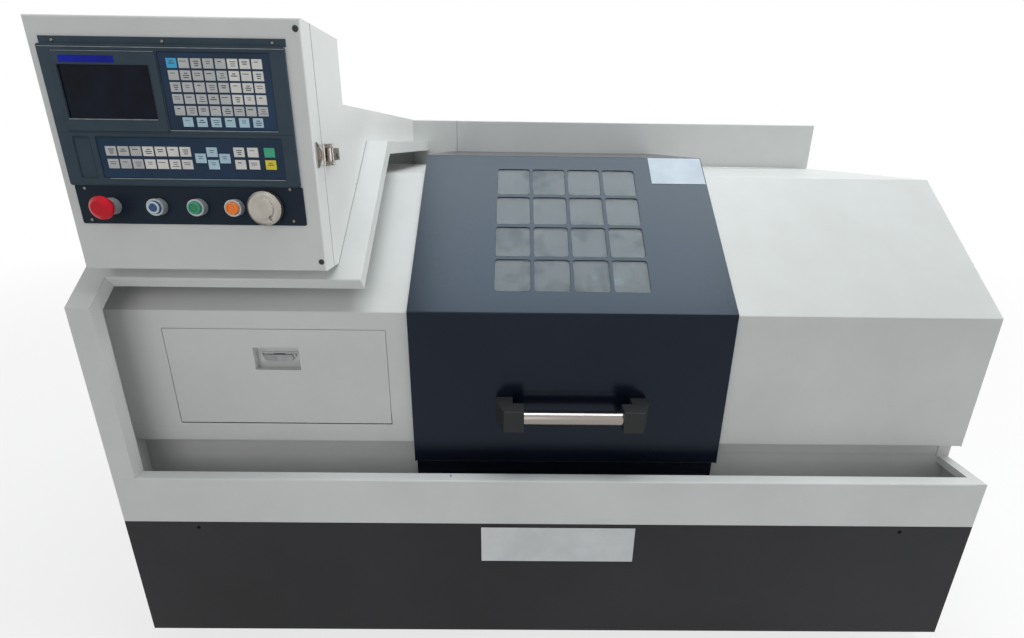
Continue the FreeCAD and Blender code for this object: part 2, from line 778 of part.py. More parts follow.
def door_carriages():
    """Two carriages that hold the door on the rear rail, and two glides at the skirt's foot."""
    parts = []
    rail_y = cover_back_y + rail_set_back
    rail_top = beam_top_z + rail_height
    skirt_back_y = door_face_y + skirt_set_back + sheet
    for x in (door_left_x + carriage_inset, door_right_x - carriage_inset):
        half = carriage_length / 2
        lower = block(x - half, x + half, rail_y - 6, rail_y + rail_depth + 6,
                      beam_top_z + 4, door_top_z - door_hem)
        upper = block(x - half, x + half, rail_y - 6, door_back_y - sheet - fold_radius,
                      door_top_z - door_hem - 1, door_top_z - sheet)
        groove = block(x - half - 1, x + half + 1, rail_y - clearance,
                       rail_y + rail_depth + clearance, 0, rail_top + clearance)
        parts.append(cut(join([lower, upper]), [groove]))
        bar_top = guide_bar_z + guide_bar_height
        parts.append(block(x - 20, x + 20, skirt_back_y, apron_y - clearance,
                           bar_top + clearance, bar_top + 26))
    return Part.makeCompound(parts)


def door_rail():
    """A ground bar across the back that the door hangs from."""
    y = cover_back_y + rail_set_back
    return rounded_block(rail_left_x, rail_right_x, y, y + rail_depth, beam_top_z,
                         beam_top_z + rail_height, "x", 1.5)


# ---------------------------------------------------------------- rear
def rear_beam():
    """A square tube across the machine behind the covers."""
    y = beam_y
    z = beam_top_z - beam_size
    left = beam_left_x
    right = length - sheet - clearance
    outer = block(left, right, y, y + beam_size, z, z + beam_size)
    inner = block(left - 1, right + 1, y + beam_wall, y + beam_size - beam_wall, z + beam_wall,
                  z + beam_size - beam_wall)
    tube_piece = outer.cut(inner)
    brackets = [block(x, x + 6, y + beam_size, back_wall_y, z, z + beam_size)
               for x in beam_bracket_xs]
    return join([tube_piece] + brackets)


def rear_panel(x0, x1, top_z):
    """A back panel with an upright coaming whose top is folded to the rear."""
    line = [(back_wall_y, coaming_bottom_z), (back_wall_y, top_z), (rear_y, top_z),
            (rear_y, cover_bottom_z)]
    return folded_sheet(line, x0, x1)


def rear_panel_right():
    return rear_panel(panel_seam_x + seam_gap, length, back_wall_top_z)


def rear_panel_left():
    """The left back panel: low behind the hood, with a coaming, an opening and two hinges."""
    high = rear_panel(cabinet_right_x + clearance, panel_seam_x - seam_gap, back_wall_top_z)
    low = block(sheet + clearance, cabinet_right_x + 1, rear_y - sheet, rear_y, cover_bottom_z,
                hood_top_z - sheet)
    x0, x1 = electrical_x
    z0, z1 = electrical_z
    opening = block(x0 + 15, x1 - 15, rear_y - sheet - 1, rear_y + 1, z0 + 25, z1 - 15)
    parts = [join([high, low]).cut(opening)]
    for z in rear_hinge_zs():
        parts += [rear_knuckle(z, False), rear_knuckle(z + 2 * rear_hinge_height, False)]
        parts.append(rod("z", rear_hinge_pin_radius, z, z + 3 * rear_hinge_height, rear_hinge_x,
                         rear_hinge_y))
    return join(parts)


def rear_hinge_zs():
    """The lower ends of the two hinges of the electrical door."""
    z0, z1 = electrical_z
    return (z0 + 2 * rear_hinge_height, z1 - 5 * rear_hinge_height)


def rear_knuckle(z, moves):
    """A hinge knuckle whose leaf lies on the rear panel or on the side of the door."""
    z0 = z + clearance if moves else z
    z1 = z + rear_hinge_height - (clearance if moves else 0)
    knuckle = rod("z", rear_hinge_radius, z0, z1, rear_hinge_x, rear_hinge_y)
    if moves:
        leaf = block(rear_hinge_x, electrical_x[0] + 1, rear_hinge_y, rear_hinge_y + sheet, z0, z1)
        bore = rod("z", rear_hinge_pin_radius + running_gap, z0 - 1, z1 + 1, rear_hinge_x,
                   rear_hinge_y)
        return knuckle.fuse(leaf).cut(bore)
    leaf = block(rear_hinge_x - 2 * rear_hinge_radius, rear_hinge_x, rear_y - 1,
                 rear_hinge_y - rear_hinge_pin_radius, z0, z1)
    return knuckle.fuse(leaf)


def electrical_box():
    """The sheet box behind the headstock, open to the rear, with its mounting plate."""
    x0, x1 = electrical_x
    z0, z1 = electrical_z
    y1 = rear_y - sheet
    y0 = y1 - electrical_depth
    outer = block(x0, x1, y0, y1, z0 + 12, z1)
    inner = block(x0 + sheet, x1 - sheet, y0 + sheet, y1 + 1, z0 + 12 + sheet, z1 - sheet)
    plate = block(x0 + 20, x1 - 20, y0 + 12, y0 + 15, z0 + 35, z1 - 25)
    posts = [rod("y", 6, y0 + sheet - 1, y0 + 12, x, z)
             for x in (x0 + 35, x1 - 35) for z in (z0 + 50, z1 - 40)]
    drive = rounded_block(x0 + 50, x0 + 200, y0 + 15, y0 + 170, z0 + 260, z0 + 520, "y", 6)
    transformer = block(x0 + 230, x0 + 360, y0 + 15, y0 + 125, z0 + 60, z0 + 190)
    contactors = [block(x0 + 235 + i * 48, x0 + 278 + i * 48, y0 + 15, y0 + 95, z0 + 300,
                        z0 + 375) for i in range(3)]
    return join([outer.cut(inner), plate, drive, transformer] + posts + contactors)


def electrical_door():
    """A pan-shaped rear door on a vertical hinge."""
    x0, x1 = electrical_x
    z0, z1 = electrical_z
    outer = block(x0, x1, rear_y + clearance, rear_y + 22, z0 + 12, z1)
    inner = block(x0 + sheet, x1 - sheet, rear_y, rear_y + 20, z0 + 12 + sheet, z1 - sheet)
    middle_z = (z0 + z1) / 2
    handle = rounded_block(x1 - 60, x1 - 30, rear_y + 21, rear_y + rear_handle_reach,
                           middle_z - rear_handle_length / 2, middle_z + rear_handle_length / 2,
                           "y", 5)
    knuckles = [rear_knuckle(z + rear_hinge_height, True) for z in rear_hinge_zs()]
    return join([outer.cut(inner), handle] + knuckles)


# ---------------------------------------------------------------- control cabinet
def cabinet_line():
    """The side of the cabinet; its foot follows the hood's slope and top."""
    return [(cabinet_front_y, cabinet_bottom_z), (cabinet_front_y, cabinet_top_z),
            (cabinet_step_y, cabinet_top_z), (cabinet_step_y, cabinet_step_z),
            (back_wall_y, cabinet_step_z), (back_wall_y, hood_top_z),
            (slope_y(0, column_bend_z, hood_top_z), hood_top_z),
            (slope_y(0, column_bend_z, cabinet_bottom_z), cabinet_bottom_z)]


def inset_outline(points, distance):
    """A closed clockwise outline of (y, z) points moved inward."""
    wrapped = offset_line([points[-1]] + points + [points[0]], distance)
    return wrapped[1:-1]


def control_cabinet():
    """A sheet cabinet seated on the hood, open at the front, with a flange and hinge knuckles."""
    line = cabinet_line()
    outer = prism(line, "x", column_width, cabinet_right_x)
    inner = prism(inset_outline(line, sheet), "x", column_width + sheet, cabinet_right_x - sheet)
    opening = block(column_width + cabinet_flange, cabinet_right_x - cabinet_flange,
                    cabinet_front_y - 1, cabinet_front_y + sheet + 1,
                    cabinet_bottom_z + cabinet_flange, cabinet_top_z - cabinet_flange)
    shell = outer.cut([inner, opening])
    pieces = [shell]
    for z in hinge_zs:
        for z0 in (z, z + 2 * knuckle_height):
            pieces.append(hinge_knuckle(z0, z0 + knuckle_height, cabinet_front_y,
                                        cabinet_front_y + leaf_width))
        pieces.append(rod("z", hinge_pin_radius, z, z + 3 * knuckle_height, hinge_x, hinge_y))
    return join(pieces)


def hinge_knuckle(z0, z1, leaf_y0, leaf_y1):
    """A knuckle of the control door's hinge with its leaf, which lies on the left side."""
    knuckle = rod("z", knuckle_radius, z0, z1, hinge_x, hinge_y)
    leaf = block(column_width - sheet, column_width, leaf_y0, leaf_y1, z0, z1)
    return knuckle.fuse(leaf)


def control_door():
    """A pan-shaped door with cut-outs for the operating unit and the buttons."""
    back_y = cabinet_front_y - clearance
    outer = block(column_width, cabinet_right_x, control_door_y, back_y, cabinet_bottom_z,
                  cabinet_top_z)
    corner = [e for e in edges_along(outer, "x") + edges_along(outer, "z")
              if e.CenterOfMass.y < control_door_y + 1]
    outer = outer.makeFillet(fold_radius + sheet, corner)
    inner = block(column_width + sheet, cabinet_right_x - sheet, control_door_y + sheet,
                  back_y + 1, cabinet_bottom_z + sheet, cabinet_top_z - sheet)
    unit = block(unit_x[0] + unit_edge, unit_x[1] - unit_edge, control_door_y - 1,
                 control_door_y + sheet + 1, unit_z[0] + unit_edge, unit_z[1] - unit_edge)
    buttons = block(button_plate_x[0] + 20, button_plate_x[1] - 20, control_door_y - 1,
                    control_door_y + sheet + 1, button_plate_z[0] + 8, button_plate_z[1] - 8)
    pieces = [outer.cut([inner, unit, buttons])]
    for z in hinge_zs:
        z0 = z + knuckle_height + clearance
        z1 = z + 2 * knuckle_height - clearance
        middle = hinge_knuckle(z0, z1, back_y - leaf_width, back_y)
        pieces.append(middle.cut(rod("z", hinge_pin_radius + running_gap, z0 - 1, z1 + 1,
                                     hinge_x, hinge_y)))
    return join(pieces)


def field(x_range, z_range, y0, y1, radius=3.0):
    return rounded_block(x_range[0], x_range[1], y0, y1, z_range[0], z_range[1], "y", radius)


def control_unit():
    """The operating unit: a proud plate with fields for the screen and the keys, and its body."""
    front = control_door_y - unit_proud
    plate = field(unit_x, unit_z, front, control_door_y, 4)
    strip = block(button_plate_x[0], button_plate_x[1], control_door_y - sheet, control_door_y,
                  unit_z[1], unit_z[1] + 11.5)
    gap = unit_edge + clearance
    body = block(unit_x[0] + gap, unit_x[1] - gap, control_door_y - 1,
                 control_door_y + unit_depth, unit_z[0] + gap, unit_z[1] - gap)
    floor = front + recess_depth
    fields = [field(input_x, input_z, front - 1, floor),
              field(operation_x, operation_z, front - 1, floor),
              field((86.6, 114.4), operation_z, front - 1, floor, 1.5)]
    bezel = field(bezel_x, bezel_z, front - 1.5, front + 1, 3)
    glass_seat = field(screen_x, screen_z, front - 3, front + 2.5, 1)
    return cut(join([plate, strip, body, bezel]), fields + [glass_seat])


def screen():
    front = control_door_y - unit_proud
    return field(screen_x, screen_z, front + 1, front + 2.5, 1)


def key(x, z, size):
    """A key pad that stands on the floor of its field."""
    floor = control_door_y - unit_proud + recess_depth
    return block(x - size[0] / 2, x + size[0] / 2, floor - key_height, floor, z - size[1] / 2,
                 z + size[1] / 2)


def key_grid(first, pitch, count, size):
    return [key(first[0] + i * pitch[0], first[1] + j * pitch[1], size)
            for i in range(count[0]) for j in range(count[1])]


def input_keys():
    """The data keys and the row of soft keys under the screen."""
    keys = key_grid(input_key_first, input_key_pitch, input_key_count, input_key)
    keys += key_grid((soft_key_first_x, soft_key_z), (soft_key_pitch, 0), (soft_key_count, 1),
                     input_key)
    return Part.makeCompound(keys)


def operation_keys():
    """The mode keys, the four arrows, the four override keys and the two cycle keys."""
    keys = key_grid(operation_key_first, operation_key_pitch, operation_key_count, operation_key)
    x, z = arrow_centre
    for dx, dz in ((-1, 0), (1, 0), (0, -1), (0, 1)):
        keys.append(key(x + dx * arrow_pitch[0], z + dz * arrow_pitch[1], operation_key))
    keys += key_grid(override_first, override_pitch, (2, 2), operation_key)
    keys += key_grid((cycle_key_x, override_first[1]), override_pitch, (1, 2), operation_key)
    return Part.makeCompound(keys)


def button_plate():
    """The plate below the unit, with a contact block behind each button."""
    front = control_door_y - button_plate_proud
    half = contact_block / 2
    parts = [field(button_plate_x, button_plate_z, front, control_door_y, 3)]
    holes = []
    for x in (stop_x, blue_x, green_x, orange_x, handwheel_x):
        parts.append(block(x - half, x + half, control_door_y - 0.5,
                           control_door_y + contact_depth, button_axis_z - half,
                           button_axis_z + half))
        holes.append(rod("y", shank_radius + clearance, front - 1,
                         control_door_y + contact_depth - 4, x, button_axis_z))
    return cut(join(parts), holes)


def button_bezels():
    """The rings round the stop button and the three push buttons."""
    front = control_door_y - button_plate_proud
    rings = [tube("y", bezel_radius, head_radius + clearance, front - bezel_reach, front, x,
                  button_axis_z) for x in (blue_x, green_x, orange_x)]
    rings.append(tube("y", bezel_radius, shank_radius + clearance, front - bezel_reach, front,
                      stop_x, button_axis_z))
    return Part.makeCompound(rings)


def push_button(x):
    """A plunger with a shank in its contact block."""
    front = control_door_y - button_plate_proud
    neck = front - button_travel - 1
    outline = [(front - bezel_reach - 4, 0), (front - bezel_reach - 4, head_radius),
               (neck, head_radius), (neck, shank_radius), (front + 24, shank_radius),
               (front + 24, 0)]
    return turned("y", x, button_axis_z, outline)


def emergency_stop():
    """A mushroom head on a shank."""
    face = control_door_y - stop_reach
    outline = [(face, 0), (face, 12), (face + 7, stop_radius), (face + 12, stop_radius),
               (face + 15, 16), (face + 15, shank_radius), (face + 60, shank_radius),
               (face + 60, 0)]
    return turned("y", stop_x, button_axis_z, outline)


def hand_wheel():
    """The electronic handwheel: a knurled dish with a raised disc and a finger notch."""
    face = control_door_y - 22
    rim = handwheel_radius
    outline = [(face, 0), (face, 18), (face + 2.5, 18), (face + 2.5, rim - 4), (face + 6, rim),
               (face + 16, rim), (face + 16, shank_radius), (face + 40, shank_radius),
               (face + 40, 0)]
    wheel = turned("y", handwheel_x, button_axis_z, outline)
    reach = rim * 0.72
    notch = rod("y", 5.5, face - 1, face + 7, handwheel_x + reach * math.cos(math.radians(-50)),
                button_axis_z + reach * math.sin(math.radians(-50)))
    return cut(wheel, [notch])


# ---------------------------------------------------------------- toggle latch
def latch_keeper():
    """The hooked plate on the control door that the latch's loop pulls on."""
    x = cabinet_right_x
    outline = [(22, toggle_z - 20), (28, toggle_z - 22), (50, toggle_z - 6), (50, toggle_z + 6),
               (28, toggle_z + 22), (22, toggle_z + 20)]
    plate = prism(outline, "x", x, x + 2)
    hook = block(x + 1, x + 8, 37, 40, toggle_z - 8, toggle_z + 8)
    holes = [rod("x", 2.2, x - 1, x + 3, 29, toggle_z + dz) for dz in (-14, 14)]
    return cut(join([plate, hook]), holes)


def latch_base():
    """The latch's plate on the cabinet's side with two ears for the lever's pin."""
    x = cabinet_right_x
    plate = rounded_block(x, x + 2, 60, 92, toggle_z - 17, toggle_z + 17, "x", 3)
    ears = [block(x + 1, x + 12, 66, 78, toggle_z + side * 13 - 1, toggle_z + side * 13 + 1)
            for side in (-1, 1)]
    pin = rod("z", 2, toggle_z - 14, toggle_z + 14, x + toggle_pivot[0], toggle_pivot[1])
    return join([plate, pin] + ears)


def latch_lever():
    """The lever that turns on the latch's pin and carries the loop's pin."""
    x = cabinet_right_x + toggle_pivot[0]
    y = toggle_pivot[1]
    width = 11.0
    tail = rounded_block(x - 1, x + 1.5, y - 4, y + 53, toggle_z - width, toggle_z + width, "x", 1)
    knuckle = rod("z", 4.2, toggle_z - width, toggle_z + width, x, y)
    pin_half = loop_half + loop_wire + clearance
    loop_pin = rod("z", loop_wire, toggle_z - pin_half, toggle_z + pin_half, x + loop_pin_x,
                   y + loop_pin_y)
    bore = rod("z", 2 + running_gap, toggle_z - width - 1, toggle_z + width + 1, x, y)
    return cut(join([tail, knuckle, loop_pin]), [bore])


def latch_loop():
    """The bent wire loop between the lever and the keeper's hook."""
    x = cabinet_right_x + toggle_pivot[0] + loop_pin_x
    y1 = toggle_pivot[1] + loop_pin_y
    bar_x = cabinet_right_x + loop_bar[0]
    y0 = loop_bar[1]
    r = loop_wire
    parts = [rod("z", r, toggle_z - loop_half, toggle_z + loop_half, bar_x, y0)]
    for side in (-1, 1):
        z = toggle_z + side * loop_half
        parts.append(tube("z", r + 2, r + running_gap, z - r, z + r, x, y1))
        parts.append(prism([(x - r, y1 - r - 1), (x + r, y1 - r - 1), (bar_x + r, y0 - r),
                            (bar_x - r, y0 - r)], "z", z - r, z + r))
    return join(parts)


# ---------------------------------------------------------------- bed and headstock
def ridge(grow, x0, x1):
    """The V way on top of the bed, or the groove that runs on it."""
    half = ridge_height + grow
    return prism([(ridge_y - half, bed_top_z), (ridge_y, bed_top_z + half),
                  (ridge_y + half, bed_top_z)], "x", x0, x1)


def bed():
    """A cast bed: two flanged side walls, ribs between them, two legs and screw brackets."""
    x0, x1 = bed_x
    y0, y1 = bed_y
    parts = []
    for near, side in ((y0, 1), (y1, -1)):
        far = near + side * way_width
        web = side * way_lip
        outline = [(near, bed_bottom_z), (near, bed_bottom_z + 25),
                   (near + web, bed_bottom_z + 37), (near + web, bed_top_z - 40),
                   (near, bed_top_z - 28), (near, bed_top_z), (far, bed_top_z),
                   (far, bed_top_z - 28), (far - web, bed_top_z - 40),
                   (far - web, bed_bottom_z + 37), (far, bed_bottom_z + 25), (far, bed_bottom_z)]
        parts.append(prism(outline, "x", x0, x1))
    parts.append(ridge(0, x0, x1))
    inner_y = (y0 + way_width - way_lip - 1, y1 - way_width + way_lip + 1)
    x = x0
    while x < x1:
        parts.append(block(x, x + 12, inner_y[0], inner_y[1], bed_bottom_z, bed_top_z - 25))
        x += bed_rib_pitch
    parts.append(block(x1 - 12, x1, inner_y[0], inner_y[1], bed_bottom_z, bed_top_z - 25))
    for leg_x in (x0 + 20, x1 - 20 - leg_length):
        leg = block(leg_x, leg_x + leg_length, y0 + 5, y1 - 5, tray_floor_z, bed_bottom_z)
        tunnel = prism([(y0 + leg_wall, tray_floor_z - 1), (y0 + leg_wall, bed_bottom_z - 40),
                        (y0 + leg_wall + 25, bed_bottom_z - 15),
                        (y1 - leg_wall - 25, bed_bottom_z - 15),
                        (y1 - leg_wall, bed_bottom_z - 40), (y1 - leg_wall, tray_floor_z - 1)],
                       "x", leg_x - 1, leg_x + leg_length + 1)
        parts.append(leg.cut(tunnel))
    half = screw_radius + 14
    for x in (x0 + 5, x1 - 5 - screw_bracket):
        parts.append(block(x, x + screw_bracket, screw_y - half, y0 + way_lip + 1,
                           screw_z - half, screw_z + half))
    side = screw_motor_size / 2
    parts.append(block(x1 - 1, x1 + 3, screw_y - side, y0 + way_width, screw_z - side,
                       screw_z + side))
    bores = rod("x", screw_radius + running_gap, x0, x1 + 4, screw_y, screw_z)
    return cut(join(parts), [bores])


def headstock():
    """The cast headstock with rounded top edges and bearing covers at both ends."""
    x0, x1 = headstock_x
    y0, y1 = headstock_y
    body = block(x0, x1, y0, y1, bed_top_z, headstock_top_z)
    body = body.makeFillet(28, edges_along(body, "x", lambda p: p.z > headstock_top_z - 1))
    rear_cover = rod("x", nose_cover_radius - 8, x0 - 10, x0 + 1, spindle_y, spindle_z)
    nose_cover = rod("x", nose_cover_radius, x1 - 1, x1 + 8, spindle_y, spindle_z)
    lid = block(x0 + 35, x1 - 35, y0 + 45, y1 - 45, headstock_top_z - 1, headstock_top_z + 6)
    bore = rod("x", spindle_radius + running_gap, x0 - 20, x1 + 20, spindle_y, spindle_z)
    groove = ridge(clearance, x0 - 1, x1 + 1)
    return cut(join([body, lid, rear_cover, nose_cover]), [bore, groove])


def spindle():
    """The hollow spindle with its nose flange and rear pulley."""
    nose_x = headstock_x[1] + 10
    tail_x = pulley_x[0] - 5
    outline = [(tail_x, bore_radius), (tail_x, spindle_radius), (pulley_x[0], spindle_radius),
               (pulley_x[0], spindle_pulley_radius), (pulley_x[1], spindle_pulley_radius),
               (pulley_x[1], spindle_radius), (nose_x, spindle_radius), (nose_x, nose_radius),
               (chuck_x, nose_radius), (chuck_x, bore_radius)]
    return turned("x", spindle_y, spindle_z, outline)


def chuck_body():
    """The chuck with its three radial slots and a through bore."""
    x1 = chuck_x + chuck_width
    r = chuck_radius
    body = turned("x", spindle_y, spindle_z,
                  [(chuck_x, bore_radius + 2), (chuck_x, r - 8), (chuck_x + 12, r - 8),
                   (chuck_x + 12, r), (x1, r), (x1, bore_radius + 2)])
    slots = []
    for i in range(3):
        slot = block(x1 - jaw_depth, x1 + 1, -jaw_width / 2 - clearance,
                     jaw_width / 2 + clearance, bore_radius, r + 1)
        slots.append(jaw_placed(slot, i))
    return cut(body, slots)


def jaw_placed(shape, i):
    """Puts a piece drawn above the axis of the chuck at one of its three slots."""
    return moved(turned_about(shape, V(0, 0, 0), "x", 120 * i), 0, spindle_y, spindle_z)


def chuck_jaw(i):
    """A stepped jaw in its slot."""
    x1 = chuck_x + chuck_width
    half = jaw_width / 2
    foot = block(x1 - jaw_depth + clearance, x1, -half, half, jaw_inner, jaw_inner + 60)
    steps = [block(x1 - 1, x1 + (k + 1) * jaw_reach / 3, -half, half, jaw_inner,
                   jaw_inner + 60 - k * 19) for k in range(3)]
    return jaw_placed(join([foot] + steps), i)


def main_motor():
    """The finned motor in the base, with its terminal box, feet and shaft."""
    x0, x1 = motor_x
    r = motor_radius
    core = r - motor_fin
    body = turned("x", spindle_y, motor_z,
                  [(x0, 0), (x0, r), (x0 + r / 3, r), (x0 + r / 3, core), (x1 - r / 3, core),
                   (x1 - r / 3, r), (x1, r), (x1, 0)])
    fin = block(x0 + r / 3 - 1, x1 - r / 3 + 1, -2, 2, core - 2, r - 2)
    fins = [moved(turned_about(fin, V(0, 0, 0), "x", 360 * i / motor_fin_count), 0, spindle_y,
                  motor_z) for i in range(motor_fin_count)]
    foot = block(x0 + 15, x1 - 15, spindle_y - r * 0.8, spindle_y + r * 0.8, rail_channel,
                 motor_z - r * 0.7)
    terminal = block(x0 + r, x0 + 2 * r, spindle_y + r * 0.7, spindle_y + r * 1.4,
                     motor_z - r * 0.4, motor_z + r * 0.4)
    shaft = rod("x", motor_shaft_radius, pulley_x[0] - 2, x0 + 1, spindle_y, motor_z)
    return join([body, foot, terminal, shaft] + fins)


def motor_pulley():
    """The flat pulley on the motor's shaft, with a flange at both ends."""
    r = motor_pulley_radius
    bore = motor_shaft_radius + running_gap
    outline = [(pulley_x[0], bore), (pulley_x[0], r + 4), (pulley_x[0] + 4, r + 4),
               (pulley_x[0] + 4, r), (pulley_x[1] - 4, r), (pulley_x[1] - 4, r + 4),
               (pulley_x[1], r + 4), (pulley_x[1], bore)]
    return turned("x", spindle_y, motor_z, outline)


def belt_loop(grow, x0, x1):
    """A loop round both pulleys, as a solid of the outline that is grown from their treads."""
    low = motor_pulley_radius + grow
    high = spindle_pulley_radius + grow
    span = spindle_z - motor_z
    lean = math.asin((high - low) / span)
    corners = []
    for side in (-1, 1):
        dy = side * math.cos(lean)
        dz = -math.sin(lean)
        corners.append((spindle_y + low * dy, motor_z + low * dz))
        corners.append((spindle_y + high * dy, spindle_z + high * dz))
    (a, b, c, d) = corners
    web = prism([a, b, d, c], "x", x0, x1)
    ends = [rod("x", low, x0, x1, spindle_y, motor_z), rod("x", high, x0, x1, spindle_y, spindle_z)]
    return web.fuse(ends)


def drive_belt():
    """The toothless flat belt from the motor to the spindle."""
    x0 = pulley_x[0] + 5
    x1 = pulley_x[1] - 5
    outer = belt_loop(clearance + belt_thickness, x0, x1)
    return outer.cut(belt_loop(clearance, x0 - 1, x1 + 1)).removeSplitter()


# ---------------------------------------------------------------- saddle and turret
def dovetail(grow, y0, y1):
    """The cross slide's dovetail on the saddle, or the slot that runs on it."""
    z0 = saddle_top_z - grow
    z1 = saddle_top_z + dovetail_height + grow
    c = saddle_centre_x
    low = dovetail_half_width + grow
    high = dovetail_half_width + 10 + grow
    return prism([(c - low, z0), (c - high, z1), (c + high, z1), (c + low, z0)], "y", y0, y1)


def saddle():
    """The saddle with its groove, the dovetail on top and the apron that the screw drives."""
    c = saddle_centre_x
    half = saddle_length / 2
    y0, y1 = saddle_y
    base_z = bed_top_z + running_gap
    wing = rounded_block(c - half, c + half, y0, y1, base_z, saddle_top_z, "z", 8)
    apron = block(c - 70, c + 70, screw_y - 20, bed_y[0] - 5, screw_z - 28, base_z + 1)
    motor_plate = block(c - 48, c + 48, y1 - 1, y1 + 8, cross_screw_z - 42, cross_screw_z + 42)
    groove = ridge(running_gap, c - half - 1, c + half + 1)
    nut_bore = rod("x", screw_radius + clearance, c - half, c + half, screw_y, screw_z)
    channel = block(c - 14, c + 14, y0 - 1, y1 - 25, cross_screw_z - 12, saddle_top_z + 30)
    screw_bore = rod("y", cross_screw_radius + running_gap, y1 - 30, y1 + 10, c, cross_screw_z)
    piece = join([wing, apron, motor_plate, dovetail(0, y0 + 6, y1 - 6)])
    return cut(piece, [groove, nut_bore, channel, screw_bore])


def cross_screw():
    c = saddle_centre_x
    return rod("y", cross_screw_radius, saddle_y[0] + 4, saddle_y[1] + 8 - clearance, c,
               cross_screw_z)


def cross_motor():
    """The cross slide's servo motor behind the saddle."""
    c = saddle_centre_x
    y = saddle_y[1] + 8
    body = rounded_block(c - 40, c + 40, y, y + 130, cross_screw_z - 40, cross_screw_z + 40, "y",
                         8)
    cap = rounded_block(c - 34, c + 34, y + 130, y + 155, cross_screw_z - 34, cross_screw_z + 34,
                        "y", 8)
    plug = block(c - 12, c + 12, y + 95, y + 120, cross_screw_z + 39, cross_screw_z + 58)
    return join([body, cap, plug])


def cross_slide():
    """The cross slide on its dovetail, with the nut that the cross screw runs in."""
    c = saddle_centre_x
    y0, y1 = cross_slide_y
    half = cross_slide_width / 2
    body = rounded_block(c - half, c + half, y0, y1, saddle_top_z + running_gap,
                         cross_slide_top_z, "z", 5)
    slots = [block(c + side * 72 - 5, c + side * 72 + 5, y0 - 1, y1 + 1, cross_slide_top_z - 9,
                   cross_slide_top_z + 1) for side in (-1, 1)]
    body = body.cut([dovetail(running_gap, y0 - 1, y1 + 1)] + slots)
    nut = block(c - 13.5, c + 13.5, turret_y - 30, turret_y + 30,
                cross_screw_z - 10, saddle_top_z + dovetail_height + 1)
    nut = nut.cut(rod("y", cross_screw_radius + clearance, turret_y - 31, turret_y + 31, c,
                      cross_screw_z))
    return join([body, nut])


def turret_base():
    """The turret's foot with the post that the head turns on."""
    c = saddle_centre_x
    foot = rounded_block(c - 60, c + 60, turret_y - 60, turret_y + 60, cross_slide_top_z,
                         turret_base_top_z, "z", 8)
    post = rod("z", 25, turret_base_top_z - 1, turret_top_z - 6, c, turret_y)
    return join([foot, post])


def turret_head():
    """A four-way tool head with a tool in each side and a cap on top."""
    c = saddle_centre_x
    half = turret_size / 2
    z0 = turret_base_top_z + clearance
    head = rounded_block(c - half, c + half, turret_y - half, turret_y + half, z0, turret_top_z,
                         "z", 5)
    cap = rod("z", 34, turret_top_z - 1, turret_top_z + 20, c, turret_y)
    nut = hexagon("z", 50, turret_top_z + 19, turret_top_z + 38, c, turret_y)
    bore = rod("z", 25 + running_gap, z0 - 1, turret_top_z - 6 + clearance, c, turret_y)
    centre = V(c, turret_y, 0)
    slots = []
    tools = []
    for i in range(4):
        slot = block(c - half - 1, c + half + 1, turret_y - half - 1, turret_y - half + 24,
                     tool_z, tool_z + 22)
        tool = block(c + half - 60, c + tool_reach - 22, turret_y - half + 1, turret_y - half + 21,
                     tool_z, tool_z + 20)
        tip = prism([(c + tool_reach - 23, turret_y - half + 1), (c + tool_reach - 8,
                     turret_y - half + 1), (c + tool_reach - 23, turret_y - half + 21)], "z",
                    tool_z, tool_z + 20)
        slots.append(turned_about(slot, centre, "z", 90 * i))
        tools += [turned_about(tool, centre, "z", 90 * i), turned_about(tip, centre, "z", 90 * i)]
    bolts = [turned_about(block(c + dx - 5, c + dx + 5, turret_y - half + 6, turret_y - half + 16,
                                tool_z + 18, turret_top_z + 9), centre, "z", 90 * i)
             for i in range(4) for dx in (-30, 0, 30)]
    return join([cut(join([head, cap, nut]), [bore] + slots)] + tools + bolts)


def lead_screw():
    x0, x1 = bed_x
    return rod("x", screw_radius, x0 + 7, x1 + 3 - clearance, screw_y, screw_z)


def screw_motor():
    """The servo motor at the bed's right end."""
    x = bed_x[1] + 3
    half = screw_motor_size / 2
    inset = half - motor_cap_inset
    end = x + screw_motor_length
    body = block(x, end, screw_y - half, screw_y + half, screw_z - half, screw_z + half)
    cap = block(end, end + motor_cap_length, screw_y - inset, screw_y + inset, screw_z - inset,
                screw_z + inset)
    plug = block(end - half / 2, end - 2, screw_y - half / 4, screw_y + half / 4,
                 screw_z + half - 1, screw_z + half * 1.4)
    edges = edges_along(body, "x")
    return join([body.makeFillet(motor_cap_inset, edges), cap, plug])


# ---------------------------------------------------------------- tailstock
def tailstock():
    """The tailstock casting: a foot on the ways, a waisted column, the barrel and its clamp."""
    x0, x1 = tailstock_x
    z0 = bed_top_z + running_gap
    foot = block(x0, x1, bed_y[0] + 2, bed_y[1] - 2, z0, z0 + 42)
    column_line = [(spindle_y - 85, z0 + 41), (spindle_y - 46, spindle_z - 20),
                   (spindle_y - 40, spindle_z), (spindle_y + 40, spindle_z),
                   (spindle_y + 46, spindle_z - 20), (spindle_y + 85, z0 + 41)]
    column = prism(column_line, "x", x0 + 14, x1 - 14)
    barrel = rod("x", 51, x0, x1, spindle_y, spindle_z)
    clamp = rod("z", 8, spindle_z + 40, spindle_z + 78, x0 + 60, spindle_y)
    lever = rod("y", 5, spindle_y - 78, spindle_y + 4, x0 + 60, spindle_z + 72)
    bore = rod("x", quill_radius + running_gap, x0 - 1, x1 + 1, spindle_y, spindle_z)
    groove = ridge(running_gap, x0 - 1, x1 + 1)
    return cut(join([foot, column, barrel, clamp, lever]), [bore, groove])


